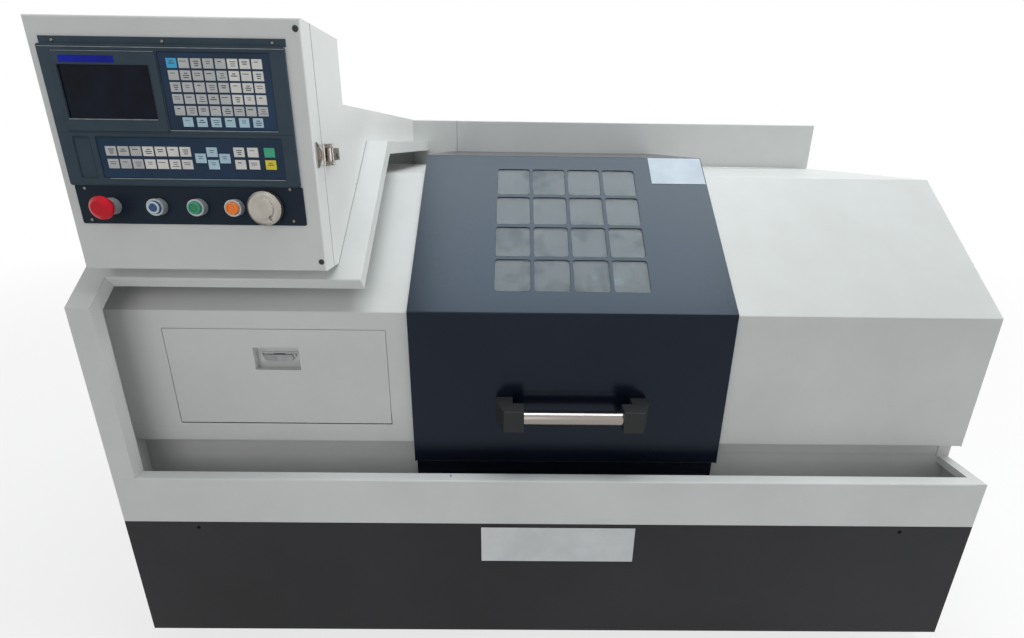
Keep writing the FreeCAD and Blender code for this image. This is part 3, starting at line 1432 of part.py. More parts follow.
def quill():
    """The quill with its centre; its tail holds the handwheel's screw."""
    x0 = tailstock_x[0] - quill_rest
    r = quill_radius
    outline = [(x0 - 28, 0), (x0 - 6, 12), (x0, 12), (x0, r),
               (tailstock_x[1] - 12, r), (tailstock_x[1] - 12, quill_bore_radius),
               (x0 + quill_bore_start, quill_bore_radius), (x0 + quill_bore_start, 0)]
    return turned("x", spindle_y, spindle_z, outline)


def quill_handwheel():
    """The quill's handwheel: a rim on three spokes, a knob, and the screw inside the quill."""
    x0 = tailstock_x[1] + clearance
    r = quill_wheel_radius
    hub = turned("x", spindle_y, spindle_z,
                 [(x0, 0), (x0, 44), (x0 + 8, 44), (x0 + 8, 20), (x0 + 42, 20), (x0 + 42, 0)])
    rim = tube("x", r, r - 10, x0 + 26, x0 + 38, spindle_y, spindle_z)
    spokes = [moved(turned_about(block(x0 + 28, x0 + 36, -6, 6, 15, r - 6), V(0, 0, 0), "x",
                                 120 * i), 0, spindle_y, spindle_z) for i in range(3)]
    knob = rod("x", 8, x0 + 34, x0 + 66, spindle_y, spindle_z + r - 7)
    screw = rod("x", quill_bore_radius - 1, tailstock_x[0] - quill_rest + quill_bore_start + 2,
                x0 + 1, spindle_y, spindle_z)
    return join([hub, rim, knob, screw] + spokes)


# ---------------------------------------------------------------- coolant
def coolant_tank():
    """The tank that stands in the base, with an open filling corner."""
    x0, x1 = tank_x
    y0, y1 = tank_y
    outer = rounded_block(x0, x1, y0, y1, rail_channel, tank_top_z, "z", 10)
    inner = rounded_block(x0 + sheet, x1 - sheet, y0 + sheet, y1 - sheet, rail_channel + sheet,
                          tank_top_z - sheet, "z", 8)
    filler = block(x0 + 30, x1 - 30, y0 + 30, spindle_y + 50, tank_top_z - 10, tank_top_z + 10)
    return outer.cut([inner, filler])


def coolant_pump():
    """An upright pump on the tank's lid."""
    z = tank_top_z
    outline = [(z, 0), (z, pump_flange_radius), (z + 6, pump_flange_radius), (z + 6, pump_radius),
               (z + pump_height, pump_radius), (z + pump_height, 0)]
    return turned("z", tank_x[1] - 90, tank_y[1] - 110, outline)


# ---------------------------------------------------------------- writing the pieces
def pieces():
    """Every piece of the machine by name."""
    made = {
        "base_cabinet": base_cabinet(),
        "levelling_feet": levelling_feet(),
        "enclosure_frame": enclosure_frame(),
        "chip_tray": chip_tray(),
        "left_cover": left_cover(),
        "headstock_bulkhead": headstock_bulkhead(),
        "access_door": access_door(),
        "access_latch": access_latch(),
        "right_cover": right_cover(),
        "guard_door": guard_door(),
        "door_window": door_window(),
        "handle_brackets": handle_brackets(),
        "handle_tube": handle_tube(),
        "door_carriages": door_carriages(),
        "door_rail": door_rail(),
        "rear_beam": rear_beam(),
        "rear_panel_left": rear_panel_left(),
        "rear_panel_right": rear_panel_right(),
        "electrical_box": electrical_box(),
        "electrical_door": electrical_door(),
        "control_cabinet": control_cabinet(),
        "control_door": control_door(),
        "control_unit": control_unit(),
        "screen": screen(),
        "input_keys": input_keys(),
        "operation_keys": operation_keys(),
        "button_plate": button_plate(),
        "button_bezels": button_bezels(),
        "emergency_stop": emergency_stop(),
        "blue_button": push_button(blue_x),
        "green_button": push_button(green_x),
        "orange_button": push_button(orange_x),
        "hand_wheel": hand_wheel(),
        "latch_keeper": latch_keeper(),
        "latch_base": latch_base(),
        "latch_lever": latch_lever(),
        "latch_loop": latch_loop(),
        "bed": bed(),
        "headstock": headstock(),
        "spindle": spindle(),
        "chuck_body": chuck_body(),
        "main_motor": main_motor(),
        "motor_pulley": motor_pulley(),
        "drive_belt": drive_belt(),
        "saddle": saddle(),
        "cross_screw": cross_screw(),
        "cross_motor": cross_motor(),
        "cross_slide": cross_slide(),
        "turret_base": turret_base(),
        "turret_head": turret_head(),
        "lead_screw": lead_screw(),
        "screw_motor": screw_motor(),
        "tailstock": tailstock(),
        "quill": quill(),
        "quill_handwheel": quill_handwheel(),
        "coolant_tank": coolant_tank(),
        "coolant_pump": coolant_pump(),
    }
    for i in range(3):
        made[f"chuck_jaw_{i + 1}"] = chuck_jaw(i)
    return made


front_reach_y = control_door_y - stop_reach
back_reach_y = rear_y + rear_handle_reach
centre_y = (front_reach_y + back_reach_y) / 2

os.makedirs("parts", exist_ok=True)
for name, shape in pieces().items():
    shape.translate(V(-length / 2, -centre_y, foot_height))
    shape.exportStep(f"parts/{name}.step")
    print(name, len(shape.Solids), shape.isValid(), round(shape.Volume / 1e6, 3))
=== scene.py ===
import math

import bmesh
import bpy
from mathutils import Matrix, Vector


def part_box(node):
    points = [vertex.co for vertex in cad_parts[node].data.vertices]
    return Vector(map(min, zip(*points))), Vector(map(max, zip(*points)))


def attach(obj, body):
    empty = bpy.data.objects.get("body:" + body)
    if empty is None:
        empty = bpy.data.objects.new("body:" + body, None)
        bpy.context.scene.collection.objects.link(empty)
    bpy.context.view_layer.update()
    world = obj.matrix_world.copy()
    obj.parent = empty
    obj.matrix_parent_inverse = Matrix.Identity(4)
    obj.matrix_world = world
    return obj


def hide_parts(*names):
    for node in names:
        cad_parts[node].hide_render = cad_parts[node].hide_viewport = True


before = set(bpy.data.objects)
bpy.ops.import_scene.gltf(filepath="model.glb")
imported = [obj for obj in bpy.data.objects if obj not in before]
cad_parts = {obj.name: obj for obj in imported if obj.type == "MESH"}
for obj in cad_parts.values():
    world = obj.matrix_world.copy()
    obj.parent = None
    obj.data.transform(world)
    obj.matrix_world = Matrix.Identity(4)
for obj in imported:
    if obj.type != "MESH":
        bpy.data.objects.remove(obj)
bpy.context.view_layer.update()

# ---------------------------------------------------------------- pale enclosure
# The folded sheet panels are welded or screwed together and powder coated in a pale
# grey that leans to green. The coat has a fine orange peel and is a little uneven.
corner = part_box("base_cabinet")[0]
pale_grey = (0.645, 0.66, 0.655)
pale_grey_shade = (0.59, 0.60, 0.595)


def place(x, y, z):
    """A point given in millimetres from the base cabinet's front lower left corner."""
    return corner + Vector((x, y, z)) / 1000


def finish_of(name, color, roughness, metallic=0.0, gloss=0.5):
    """A new material with one shader, whose plain values are set on the shader itself."""
    material = bpy.data.materials.new(name)
    material.use_nodes = True
    shader = material.node_tree.nodes["Principled BSDF"]
    shader.inputs["Base Color"].default_value = (*color, 1)
    shader.inputs["Roughness"].default_value = roughness
    shader.inputs["Metallic"].default_value = metallic
    shader.inputs["Specular IOR Level"].default_value = gloss
    material.diffuse_color = (*color, 1)
    return material, shader


def node_in(material, kind, **values):
    """A node of the material with some of its inputs set."""
    node = material.node_tree.nodes.new(kind)
    for name, value in values.items():
        node.inputs[name.replace("_", " ")].default_value = value
    return node


def grain(material, shader, scale, depth, strength=0.5, stretch=(1, 1, 1), edge=0.0008):
    """Fine relief over rounded edges: a noise in real sizes that drives the normal."""
    link = material.node_tree.links.new
    where = node_in(material, "ShaderNodeTexCoord")
    mapping = node_in(material, "ShaderNodeMapping", Scale=stretch)
    noise = node_in(material, "ShaderNodeTexNoise", Scale=scale, Detail=3.0)
    relief = node_in(material, "ShaderNodeBump", Strength=strength, Distance=depth)
    rounding = node_in(material, "ShaderNodeBevel", Radius=edge)
    rounding.samples = 4
    link(where.outputs["Object"], mapping.inputs["Vector"])
    link(mapping.outputs["Vector"], noise.inputs["Vector"])
    link(noise.outputs["Fac"], relief.inputs["Height"])
    link(rounding.outputs["Normal"], relief.inputs["Normal"])
    link(relief.outputs["Normal"], shader.inputs["Normal"])


def mottled(material, shader, low, high, scale, spread=(0.35, 0.65), socket="Base Color"):
    """Colour or roughness that wanders between two values over the surface."""
    link = material.node_tree.links.new
    where = node_in(material, "ShaderNodeTexCoord")
    noise = node_in(material, "ShaderNodeTexNoise", Scale=scale, Detail=6.0, Roughness=0.6)
    ramp = material.node_tree.nodes.new("ShaderNodeValToRGB")
    ramp.color_ramp.elements[0].position = spread[0]
    ramp.color_ramp.elements[1].position = spread[1]
    colors = (low, high) if socket == "Base Color" else ((low,) * 3, (high,) * 3)
    for element, value in zip(ramp.color_ramp.elements, colors):
        element.color = (*value, 1)
    link(where.outputs["Object"], noise.inputs["Vector"])
    link(noise.outputs["Fac"], ramp.inputs["Fac"])
    link(ramp.outputs["Color"], shader.inputs[socket])


def powder_coat(name, color, shade, roughness, patch=3.0, gloss=0.3):
    """A powder coat: fine orange peel, a little unevenness and a soft sheen."""
    material, shader = finish_of(name, color, roughness, gloss=gloss)
    mottled(material, shader, shade, color, patch)
    grain(material, shader, 900, 0.00012, 0.35, edge=0.0012)
    return material


def dress(material, *names):
    """Gives CAD nodes a material in the slots that they have."""
    for name in names:
        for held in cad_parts[name].material_slots:
            held.material = material


pale_coat = powder_coat("pale powder coat", pale_grey, pale_grey_shade, 0.42)
dress(pale_coat, "enclosure_frame", "chip_tray", "left_cover", "right_cover", "access_door",
      "headstock_bulkhead", "rear_beam", "rear_panel_left", "rear_panel_right",
      "electrical_door", "control_cabinet", "control_door")

# ---------------------------------------------------------------- base cabinet
# The cabinet is one welded box of thicker sheet, coated in a near-black textured powder.
# It carries a bare pale plate on its front and stands on six levelling feet, which are zinc
# plated, as are the electrical box and the coolant tank.
base_dark = (0.030, 0.030, 0.033)
base_dark_shade = (0.022, 0.022, 0.024)
plate_size = (339, 1.2, 91)
plate_at = (944.5, -0.6, 252.5)

base_coat = powder_coat("dark textured coat", base_dark, base_dark_shade, 0.55, patch=2.0,
                        gloss=0.16)
dress(base_coat, "base_cabinet")


def mesh_piece(name, shape, material, body):
    """An object from a bmesh that rides on a body of the frame."""
    mesh = bpy.data.meshes.new(name)
    shape.to_mesh(mesh)
    shape.free()
    piece = bpy.data.objects.new(name, mesh)
    bpy.context.scene.collection.objects.link(piece)
    mesh.materials.append(material)
    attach(piece, body)
    return piece


def add_slab(shape, centre, size, bevel, segments=2, tilt=0.0):
    """A box with rounded edges, from its middle and its size in millimetres, tilted about X."""
    made = bmesh.ops.create_cube(shape, size=1)
    verts = made["verts"]
    scale = Matrix.Diagonal((*(Vector(size) / 1000), 1))
    turned = Matrix.Translation(place(*centre)) @ Matrix.Rotation(tilt, 4, "X")
    bmesh.ops.transform(shape, matrix=turned @ scale, verts=verts)
    if bevel:
        edges = list({e for v in verts for e in v.link_edges})
        bmesh.ops.bevel(shape, geom=edges, offset=bevel / 1000, segments=segments, profile=0.5,
                        affect="EDGES", clamp_overlap=True)


plate_face, plate_shader = finish_of("bare pale plate", (0.62, 0.64, 0.65), 0.35)
mottled(plate_face, plate_shader, (0.55, 0.57, 0.58), (0.66, 0.68, 0.69), 9)
grain(plate_face, plate_shader, 400, 0.00005, 0.3)
front_plate = bmesh.new()
add_slab(front_plate, plate_at, plate_size, 0.5)
mesh_piece("front_plate", front_plate, plate_face, "machine")

zinc, zinc_shader = finish_of("zinc plate", (0.52, 0.53, 0.54), 0.38, 1.0)
grain(zinc, zinc_shader, 250, 0.0001, 0.4)
mottled(zinc, zinc_shader, 0.28, 0.5, 60, socket="Roughness")
dress(zinc, "levelling_feet", "electrical_box", "coolant_tank")

# ---------------------------------------------------------------- guard door
# The door is one folded sheet in a blue-black semi-gloss coat, with a bare pale plate on its
# slope. Sixteen panes in a pressed grid show a clear sheet behind it, and the skirt below
# runs into the tray.
door_dark = (0.005, 0.007, 0.015)
door_dark_shade = (0.004, 0.0055, 0.012)
door_sheen = (0.64, 0.80, 1.0)
# A paler and a darker window tint make a painted reflection of clouds on the panes.
window_tint_and_reflection = (0.50, 0.60, 0.67)
window_reflection_dark = (0.22, 0.33, 0.42)

door_coat = powder_coat("blue-black coat", door_dark, door_dark_shade, 0.2, patch=4.0, gloss=0.28)
door_shader = door_coat.node_tree.nodes["Principled BSDF"]
door_shader.inputs["Specular Tint"].default_value = (*door_sheen, 1)
dress(door_coat, "guard_door")

door_bend = Vector((0, 74.5, 768.7))
door_slope = math.radians(40.3)
small_plate_size = (130.0, 88.0, 0.8)
small_plate_x = 1236.0
small_plate_up = 413.5
small_plate_gap = 0.05
up_slope = Vector((0, math.cos(door_slope), math.sin(door_slope)))
off_slope = Vector((0, -math.sin(door_slope), math.cos(door_slope)))
small_plate_lift = small_plate_size[2] / 2 + small_plate_gap
small_plate_at = door_bend + up_slope * small_plate_up + off_slope * small_plate_lift
small_plate_face, small_plate_shader = finish_of("bare sign sheet", (0.50, 0.57, 0.65), 0.5,
                                                 gloss=0.2)
mottled(small_plate_face, small_plate_shader, (0.46, 0.53, 0.60), (0.54, 0.61, 0.69), 14)
grain(small_plate_face, small_plate_shader, 500, 0.00005, 0.3, edge=0.0004)
small_plate = bmesh.new()
add_slab(small_plate, (small_plate_x, small_plate_at.y, small_plate_at.z), small_plate_size, 0.2,
         tilt=door_slope)
mesh_piece("door_sign_plate", small_plate, small_plate_face, "guard_door")

# The sheet's colour wanders in patches between the paler and the darker tint: a painted reflection
# of clouds.
clear_sheet, clear_shader = finish_of("clear window sheet", window_tint_and_reflection, 0.22)
clear_shader.inputs["IOR"].default_value = 1.3
clear_shader.inputs["Transmission Weight"].default_value = 0.92
mottled(clear_sheet, clear_shader, window_reflection_dark, window_tint_and_reflection, 11, spread=(0.30, 0.50))
grain(clear_sheet, clear_shader, 12, 0.0004, 0.15, edge=0.0005)
dress(clear_sheet, "door_window")

# ---------------------------------------------------------------- door handle
# A chromed tube is pushed into two moulded black brackets, which are bolted to the door
# from behind. They have a fine matt texture, like the carriages that the door hangs on.
moulded_black, moulded_shader = finish_of("matt moulding", (0.022, 0.023, 0.024), 0.5, gloss=0.22)
grain(moulded_black, moulded_shader, 1500, 0.0001, 0.5, edge=0.0015)
dress(moulded_black, "handle_brackets", "door_carriages")

chrome_tube, chrome_shader = finish_of("chromed tube", (0.29, 0.26, 0.24), 0.2, 1.0)
grain(chrome_tube, chrome_shader, 60, 0.0001, 0.25, stretch=(0.2, 8, 8))
dress(chrome_tube, "handle_tube")

# ---------------------------------------------------------------- rail and turned parts
# The door's rail, the screws and the turned and milled parts are of steel. They are ground
# and left bright, with fine lines along the bars.
ground_bar, ground_shader = finish_of("ground steel", (0.56, 0.56, 0.55), 0.28, 1.0)
grain(ground_bar, ground_shader, 300, 0.0001, 0.4, stretch=(0.02, 1, 1))
dress(ground_bar, "door_rail", "lead_screw", "cross_screw", "spindle", "chuck_body",
      "chuck_jaw_1", "chuck_jaw_2", "chuck_jaw_3", "quill", "quill_handwheel", "motor_pulley",
      "turret_head")

# ---------------------------------------------------------------- castings and drives
# Bed, headstock, saddle and tailstock are iron castings with a grey-green machine enamel
# over a rough cast skin. The motors are black, and the belt is flat black rubber.
cast_enamel, cast_shader = finish_of("enamelled casting", (0.22, 0.26, 0.25), 0.45)
mottled(cast_enamel, cast_shader, (0.17, 0.20, 0.195), (0.25, 0.29, 0.28), 7)
grain(cast_enamel, cast_shader, 120, 0.0006, 0.5, edge=0.002)
dress(cast_enamel, "bed", "headstock", "saddle", "cross_slide", "turret_base", "tailstock")

motor_enamel, motor_shader = finish_of("black motor enamel", (0.028, 0.028, 0.030), 0.4)
grain(motor_enamel, motor_shader, 700, 0.0002, 0.5, edge=0.0015)
dress(motor_enamel, "main_motor", "screw_motor", "cross_motor", "coolant_pump")

belt_rubber, rubber_shader = finish_of("belt rubber", (0.02, 0.02, 0.02), 0.75)
grain(belt_rubber, rubber_shader, 500, 0.0003, 0.6)
dress(belt_rubber, "drive_belt")

# ---------------------------------------------------------------- operating unit
# The unit's front is a moulded slate frame in two tiers. Membrane fields in blue-black film
# lie in its recesses, and the screen sits in a raised bezel. Pale ledges under the fields, over
# the bezel and under the top flange are a painted highlight where light catches those edges.
slate = (0.038, 0.060, 0.080)
film_blue = (0.014, 0.040, 0.085)
unit_front_y = 9.5
field_floor_y = 11.0
input_field = (256, 438, 1111, 1231)
operation_field = (125, 441, 1031, 1099)
blank_field = (86.6, 114.4, 1031, 1096)
bezel_field = (84.5, 254, 1108, 1230)
screen_field = (91, 240, 1128, 1210)

slate_moulding, slate_shader = finish_of("slate moulding", slate, 0.42, gloss=0.12)
mottled(slate_moulding, slate_shader, (0.032, 0.052, 0.070), (0.042, 0.066, 0.088), 12)
grain(slate_moulding, slate_shader, 1600, 0.00008, 0.4, edge=0.0012)
dress(slate_moulding, "control_unit")

membrane, membrane_shader = finish_of("blue-black film", film_blue, 0.35, gloss=0.14)
mottled(membrane, membrane_shader, (0.012, 0.028, 0.056), (0.016, 0.046, 0.100), 9)
grain(membrane, membrane_shader, 2200, 0.00004, 0.3)


def add_field(shape, field, y0, y1, bevel):
    """A thin slab that fills a rectangle (left, right, low, high) from one depth to another."""
    x0, x1, z0, z1 = field
    add_slab(shape, ((x0 + x1) / 2, (y0 + y1) / 2, (z0 + z1) / 2),
             (x1 - x0, abs(y1 - y0), z1 - z0), bevel)


films = bmesh.new()
for left, right, low, high in (input_field, operation_field):
    add_field(films, (left + 0.6, right - 0.6, low + 0.6, high - 0.6), field_floor_y - 0.25,
              field_floor_y, 0.1)
mesh_piece("membrane_films", films, membrane, "control_door")


def add_frame(shape, field, width, y0, y1, bevel):
    """Four slabs that make a rectangular frame round a field."""
    x0, x1, z0, z1 = field
    add_field(shape, (x0 - width, x1 + width, z1, z1 + width), y0, y1, bevel)
    add_field(shape, (x0 - width, x1 + width, z0 - width, z0), y0, y1, bevel)
    add_field(shape, (x0 - width, x0, z0, z1), y0, y1, bevel)
    add_field(shape, (x1, x1 + width, z0, z1), y0, y1, bevel)


lip_slate, lip_shader = finish_of("slate lip", (0.030, 0.044, 0.058), 0.42, gloss=0.15)
mottled(lip_slate, lip_shader, (0.024, 0.036, 0.048), (0.036, 0.052, 0.068), 15)
grain(lip_slate, lip_shader, 1600, 0.00005, 0.3)
lips = bmesh.new()
for field in (input_field, operation_field, blank_field):
    add_frame(lips, field, 0.9, unit_front_y - 0.5, unit_front_y + 0.2, 0.2)
add_frame(lips, bezel_field, 1.2, unit_front_y - 0.8, unit_front_y + 0.2, 0.3)
add_frame(lips, screen_field, 1.4, unit_front_y - 2.1, unit_front_y - 1.3, 0.3)
mesh_piece("unit_lips", lips, lip_slate, "control_door")

# The pale ledge colour is a painted highlight: light catching the edges that face up.
ledge_highlight_grey, ledge_highlight_shader = finish_of("slate ledge painted highlight", (0.30, 0.33, 0.35), 0.4)
mottled(ledge_highlight_grey, ledge_highlight_shader, (0.22, 0.25, 0.27), (0.36, 0.39, 0.41), 60)
grain(ledge_highlight_grey, ledge_highlight_shader, 1600, 0.00005, 0.3)
field_ledges = ((256, 438, 1109.6, 0.7), (136, 441, 1029.6, 0.7), (91, 240, 1126, 2.3))
field_ledge_height = 1.1
top_ledges = ((66, 464, 1236.2), (85, 252, 1230.2))
top_ledge_height = 0.9
ledges = bmesh.new()
for left, right, low, proud in field_ledges:
    add_field(ledges, (left, right, low, low + field_ledge_height), unit_front_y - proud,
              unit_front_y, 0.3)
for left, right, low in top_ledges:
    add_field(ledges, (left, right, low, low + top_ledge_height), unit_front_y - 0.9,
              unit_front_y + 0.2, 0.2)
mesh_piece("unit_highlight_ledges", ledges, ledge_highlight_grey, "control_door")

tier_line_heights = ((1019.2, 1020.2), (1104.5, 1105.2))
tier_lines = bmesh.new()
for low, high in tier_line_heights:
    add_field(tier_lines, (66, 464, low, high), unit_front_y - 0.25, unit_front_y + 0.1, 0.1)
mesh_piece("unit_tier_lines", tier_lines, lip_slate, "control_door")

screen_black, screen_shader = finish_of("screen glass", (0.006, 0.008, 0.014), 0.09, gloss=0.1)
mottled(screen_black, screen_shader, (0.003, 0.004, 0.007), (0.006, 0.009, 0.022), 22)
grain(screen_black, screen_shader, 40, 0.00004, 0.2)
dress(screen_black, "screen")

strip_blue, strip_shader = finish_of("blue strip", (0.008, 0.016, 0.30), 0.4, gloss=0.1)
mottled(strip_blue, strip_shader, (0.006, 0.012, 0.24), (0.010, 0.020, 0.36), 30)
grain(strip_blue, strip_shader, 1500, 0.00003, 0.2)
strip_field = (96, 186, 1213.5, 1224)
strip = bmesh.new()
add_field(strip, strip_field, unit_front_y - 1.6, unit_front_y - 1.2, 0.1)
mesh_piece("blank_blue_strip", strip, strip_blue, "control_door")

# ---------------------------------------------------------------- keys
# Each key is a domed pad pressed up in the film, printed in a pale colour. The legends are
# short plain bars, darker than the pad, that stand for the printing of such a panel.
key_colors = {
    "grey": (0.48, 0.49, 0.49),
    "white": (0.70, 0.69, 0.66),
    "pale_blue": (0.42, 0.60, 0.70),
    "bright_blue": (0.02, 0.38, 0.68),
    "green": (0.02, 0.36, 0.20),
    "yellow": (0.78, 0.62, 0.02),
}
key_faces = {}
for color_name, color in key_colors.items():
    key_faces[color_name], key_shader = finish_of(f"{color_name.replace('_', ' ')} key", color,
                                                  0.38)
    mottled(key_faces[color_name], key_shader, tuple(0.88 * c for c in color), color, 40)
    grain(key_faces[color_name], key_shader, 2500, 0.00004, 0.3, edge=0.0006)
legend_ink, ink_shader = finish_of("legend ink", (0.06, 0.08, 0.10), 0.5)
grain(legend_ink, ink_shader, 2500, 0.00002, 0.2)

key_size = (17.2, 15.0)
mode_key_size = (18.6, 15.8)
key_top_y = field_floor_y - 1.25
data_keys_at = (277.5, 1142)
data_key_pitch = (19.9, 18.1)
soft_keys_at = (288, 1124)
soft_key_pitch = 23.6
mode_keys_at = (146.5, 1055)
mode_key_pitch = (21.2, 21)
arrow_keys_middle = (319.3, 1065.6)
arrow_key_reach = (20.8, 10.3)
feed_keys_at = (365.7, 1055.9)
feed_key_pitch = (23.7, 20.3)
cycle_key_x = 418
start_key_z = 1076.2
keys_by_color = {color_name: [] for color_name in key_colors}


def add_key(color_name, at, size, mark, step=(0, 0), pitch=(0, 0)):
    """Notes a key's place, some steps of a pitch from a first key, and the mark on it."""
    keys_by_color[color_name].append((at[0] + step[0] * pitch[0], at[1] + step[1] * pitch[1],
                                      size, mark))


for column in range(8):
    for row in range(5):
        color_name = "white" if column >= 5 and row >= 1 else "grey"
        if column == 0 and row == 4:
            color_name = "bright_blue"
        add_key(color_name, data_keys_at, key_size, column * 5 + row, (column, row),
                data_key_pitch)
for column in range(6):
    add_key("pale_blue", soft_keys_at, key_size, column + 3, (column, 0), (soft_key_pitch, 0))
for column in range(7):
    for row in range(2):
        color_name = "white" if column >= 3 else "grey"
        add_key(color_name, mode_keys_at, mode_key_size, column * 2 + row + 1, (column, row),
                mode_key_pitch)
for step in ((-1, 0), (1, 0), (0, -1), (0, 1)):
    add_key("pale_blue", arrow_keys_middle, mode_key_size, 7, step, arrow_key_reach)
for column in range(2):
    for row in range(2):
        add_key("white", feed_keys_at, mode_key_size, column + 2 * row, (column, row),
                feed_key_pitch)
add_key("green", (cycle_key_x, start_key_z), mode_key_size, None)
add_key("yellow", (cycle_key_x, feed_keys_at[1]), mode_key_size, 4)

for color_name, places in keys_by_color.items():
    pads = bmesh.new()
    for x, z, size, _ in places:
        add_slab(pads, (x, (key_top_y + field_floor_y) / 2, z),
                 (size[0], field_floor_y - key_top_y, size[1]), 0.9, 3)
    pad_piece = mesh_piece(f"{color_name}_key_pads", pads, key_faces[color_name], "control_door")
    if color_name == "grey":
        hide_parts("input_keys", "operation_keys")

legend_top_line = 3.0
legend_line_pitch = 3.2
legend_shift = 0.8
legend_thickness = 0.12
legends = bmesh.new()
for places in keys_by_color.values():
    for x, z, size, mark in places:
        if mark is None:
            continue
        for line in range(1 + mark % 3):
            width = size[0] * (0.34 + 0.09 * ((mark * 7 + line * 3) % 4))
            height = 1.1 if mark % 2 else 1.6
            middle = (x + (mark % 3 - 1) * legend_shift, key_top_y,
                      z + legend_top_line - line * legend_line_pitch)
            add_slab(legends, middle, (width, legend_thickness, height), 0)
mesh_piece("key_legends", legends, legend_ink, "control_door")

# ---------------------------------------------------------------- button plate
# A dark painted plate below the unit holds the push buttons. It is fixed by four plated
# screws, and three more hold the unit's top flange.
plate_coat = powder_coat("plate coat", (0.013, 0.022, 0.036), (0.010, 0.018, 0.030), 0.42,
                         gloss=0.1)
dress(plate_coat, "button_plate")

screw_head, screw_shader = finish_of("plated screw", (0.16, 0.15, 0.125), 0.4, 1.0)
grain(screw_head, screw_shader, 900, 0.0001, 0.5)


def add_round(shape, centre, outline, segments):
    """A form turned about an axis to the rear, from (distance, radius) pairs in millimetres."""
    turn = Matrix.Rotation(-math.pi / 2, 4, "X")
    rings = []
    for along, radius in outline:
        ring = []
        for step in range(segments if radius > 0 else 1):
            angle = 2 * math.pi * step / segments
            local = Vector((radius * math.cos(angle), radius * math.sin(angle), along)) / 1000
            ring.append(shape.verts.new(place(*centre) + turn @ local))
        rings.append(ring)
    for near, far in zip(rings, rings[1:]):
        for step in range(segments):
            following = (step + 1) % segments
            if len(near) == 1:
                shape.faces.new((near[0], far[following], far[step]))
            elif len(far) == 1:
                shape.faces.new((near[step], near[following], far[0]))
            else:
                shape.faces.new((near[step], near[following], far[following], far[step]))


sharp_angle = math.radians(35)


def smooth(piece):
    """Shades a piece smooth across all but its sharp edges."""
    for face in piece.data.polygons:
        face.use_smooth = True
    piece.data.set_sharp_from_angle(angle=sharp_angle)


plate_front_y = 12.5
plate_screws = ((84, 1012.6), (444.4, 1014.6), (83.7, 957.5), (444.5, 959))
flange_front_y = 13.5
flange_screw_z = 1246
flange_screw_xs = (89, 267, 445)
screws = bmesh.new()
for x, z in plate_screws:
    add_round(screws, (x, plate_front_y, z), [(-1.8, 0), (-1.8, 1.6), (-1.2, 2.6), (0, 2.9)],
              segments=20)
for x in flange_screw_xs:
    add_round(screws, (x, flange_front_y, flange_screw_z),
              [(-1.8, 0), (-1.8, 1.6), (-1.2, 2.4), (0, 2.7)], segments=20)
smooth(mesh_piece("panel_screws", screws, screw_head, "control_door"))

# ---------------------------------------------------------------- rear panel screws
# Each rear panel is held by low domed screws of plated steel along its edges. They go into
# the flanges of the frame, so each panel comes off from behind.
rear_face_y = 980.0
low_z, middle_z, high_z = (475, 812, 1148)
hood_z = 1078
rear_screw_places = [(x, z) for x in (660, 1250, 1840) for z in (low_z, high_z)]
rear_screw_places += [(x, middle_z) for x in (660, 1840)]
rear_screw_places += [(624, z) for z in (low_z, middle_z, high_z)]
rear_screw_places += [(22, z) for z in (low_z, middle_z, hood_z)]
rear_screw_places += [(508, hood_z)]
rear_screws = bmesh.new()
for x, z in rear_screw_places:
    add_round(rear_screws, (x, rear_face_y, z), [(0, 4.6), (1.4, 4.2), (2.4, 2.8), (2.8, 0)],
              segments=20)
smooth(mesh_piece("rear_screws", rear_screws, screw_head, "machine"))

# ---------------------------------------------------------------- push buttons
# The stop button is a moulded red mushroom head. The three push buttons are coloured caps in
# plated rings, and the silver handwheel beside them is a turned and bead-blasted knob.
stop_red, red_shader = finish_of("stop button red", (0.52, 0.006, 0.018), 0.34, gloss=0.2)
mottled(stop_red, red_shader, (0.46, 0.005, 0.015), (0.57, 0.008, 0.021), 30)
grain(stop_red, red_shader, 700, 0.0001, 0.3, edge=0.002)
dress(stop_red, "emergency_stop")

ring_metal, ring_shader = finish_of("button ring", (0.42, 0.45, 0.47), 0.35, 0.4)
grain(ring_metal, ring_shader, 900, 0.0001, 0.4, edge=0.001)
dress(ring_metal, "button_bezels")

cap_colors = {"blue": (0.012, 0.055, 0.16), "green": (0.008, 0.22, 0.10),
              "orange": (0.95, 0.20, 0.004)}
rim_colors = {"blue": (0.50, 0.58, 0.66), "green": (0.02, 0.30, 0.16),
              "orange": (0.78, 0.24, 0.03)}
cap_x = {"blue": 209.0, "green": 280.0, "orange": 345.5}
button_axis_z = 982.5
cap_front_y = -5.5
for color_name, color in cap_colors.items():
    cap_face, cap_shader = finish_of(f"{color_name} cap", color, 0.22)
    grain(cap_face, cap_shader, 500, 0.0001, 0.3, edge=0.001)
    dress(cap_face, f"{color_name}_button")
    rim_face, rim_shader = finish_of(f"{color_name} rim", rim_colors[color_name], 0.3)
    grain(rim_face, rim_shader, 500, 0.0001, 0.3, edge=0.001)
    rim = bmesh.new()
    add_round(rim, (cap_x[color_name], cap_front_y, button_axis_z),
              [(-0.3, 7.2), (-1.6, 7.8), (-1.9, 9.0), (-1.6, 10.2), (0.4, 10.9), (0.4, 7.2),
               (-0.3, 7.2)], segments=40)
    smooth(mesh_piece(f"{color_name}_cap_rim", rim, rim_face, f"{color_name}_button"))

silver_knob, knob_shader = finish_of("bead-blasted silver", (0.66, 0.66, 0.64), 0.30, 0.9)
mottled(silver_knob, knob_shader, (0.29, 0.27, 0.24), (0.40, 0.38, 0.345), 25)
grain(silver_knob, knob_shader, 1200, 0.0001, 0.5, edge=0.0015)
dress(silver_knob, "hand_wheel")

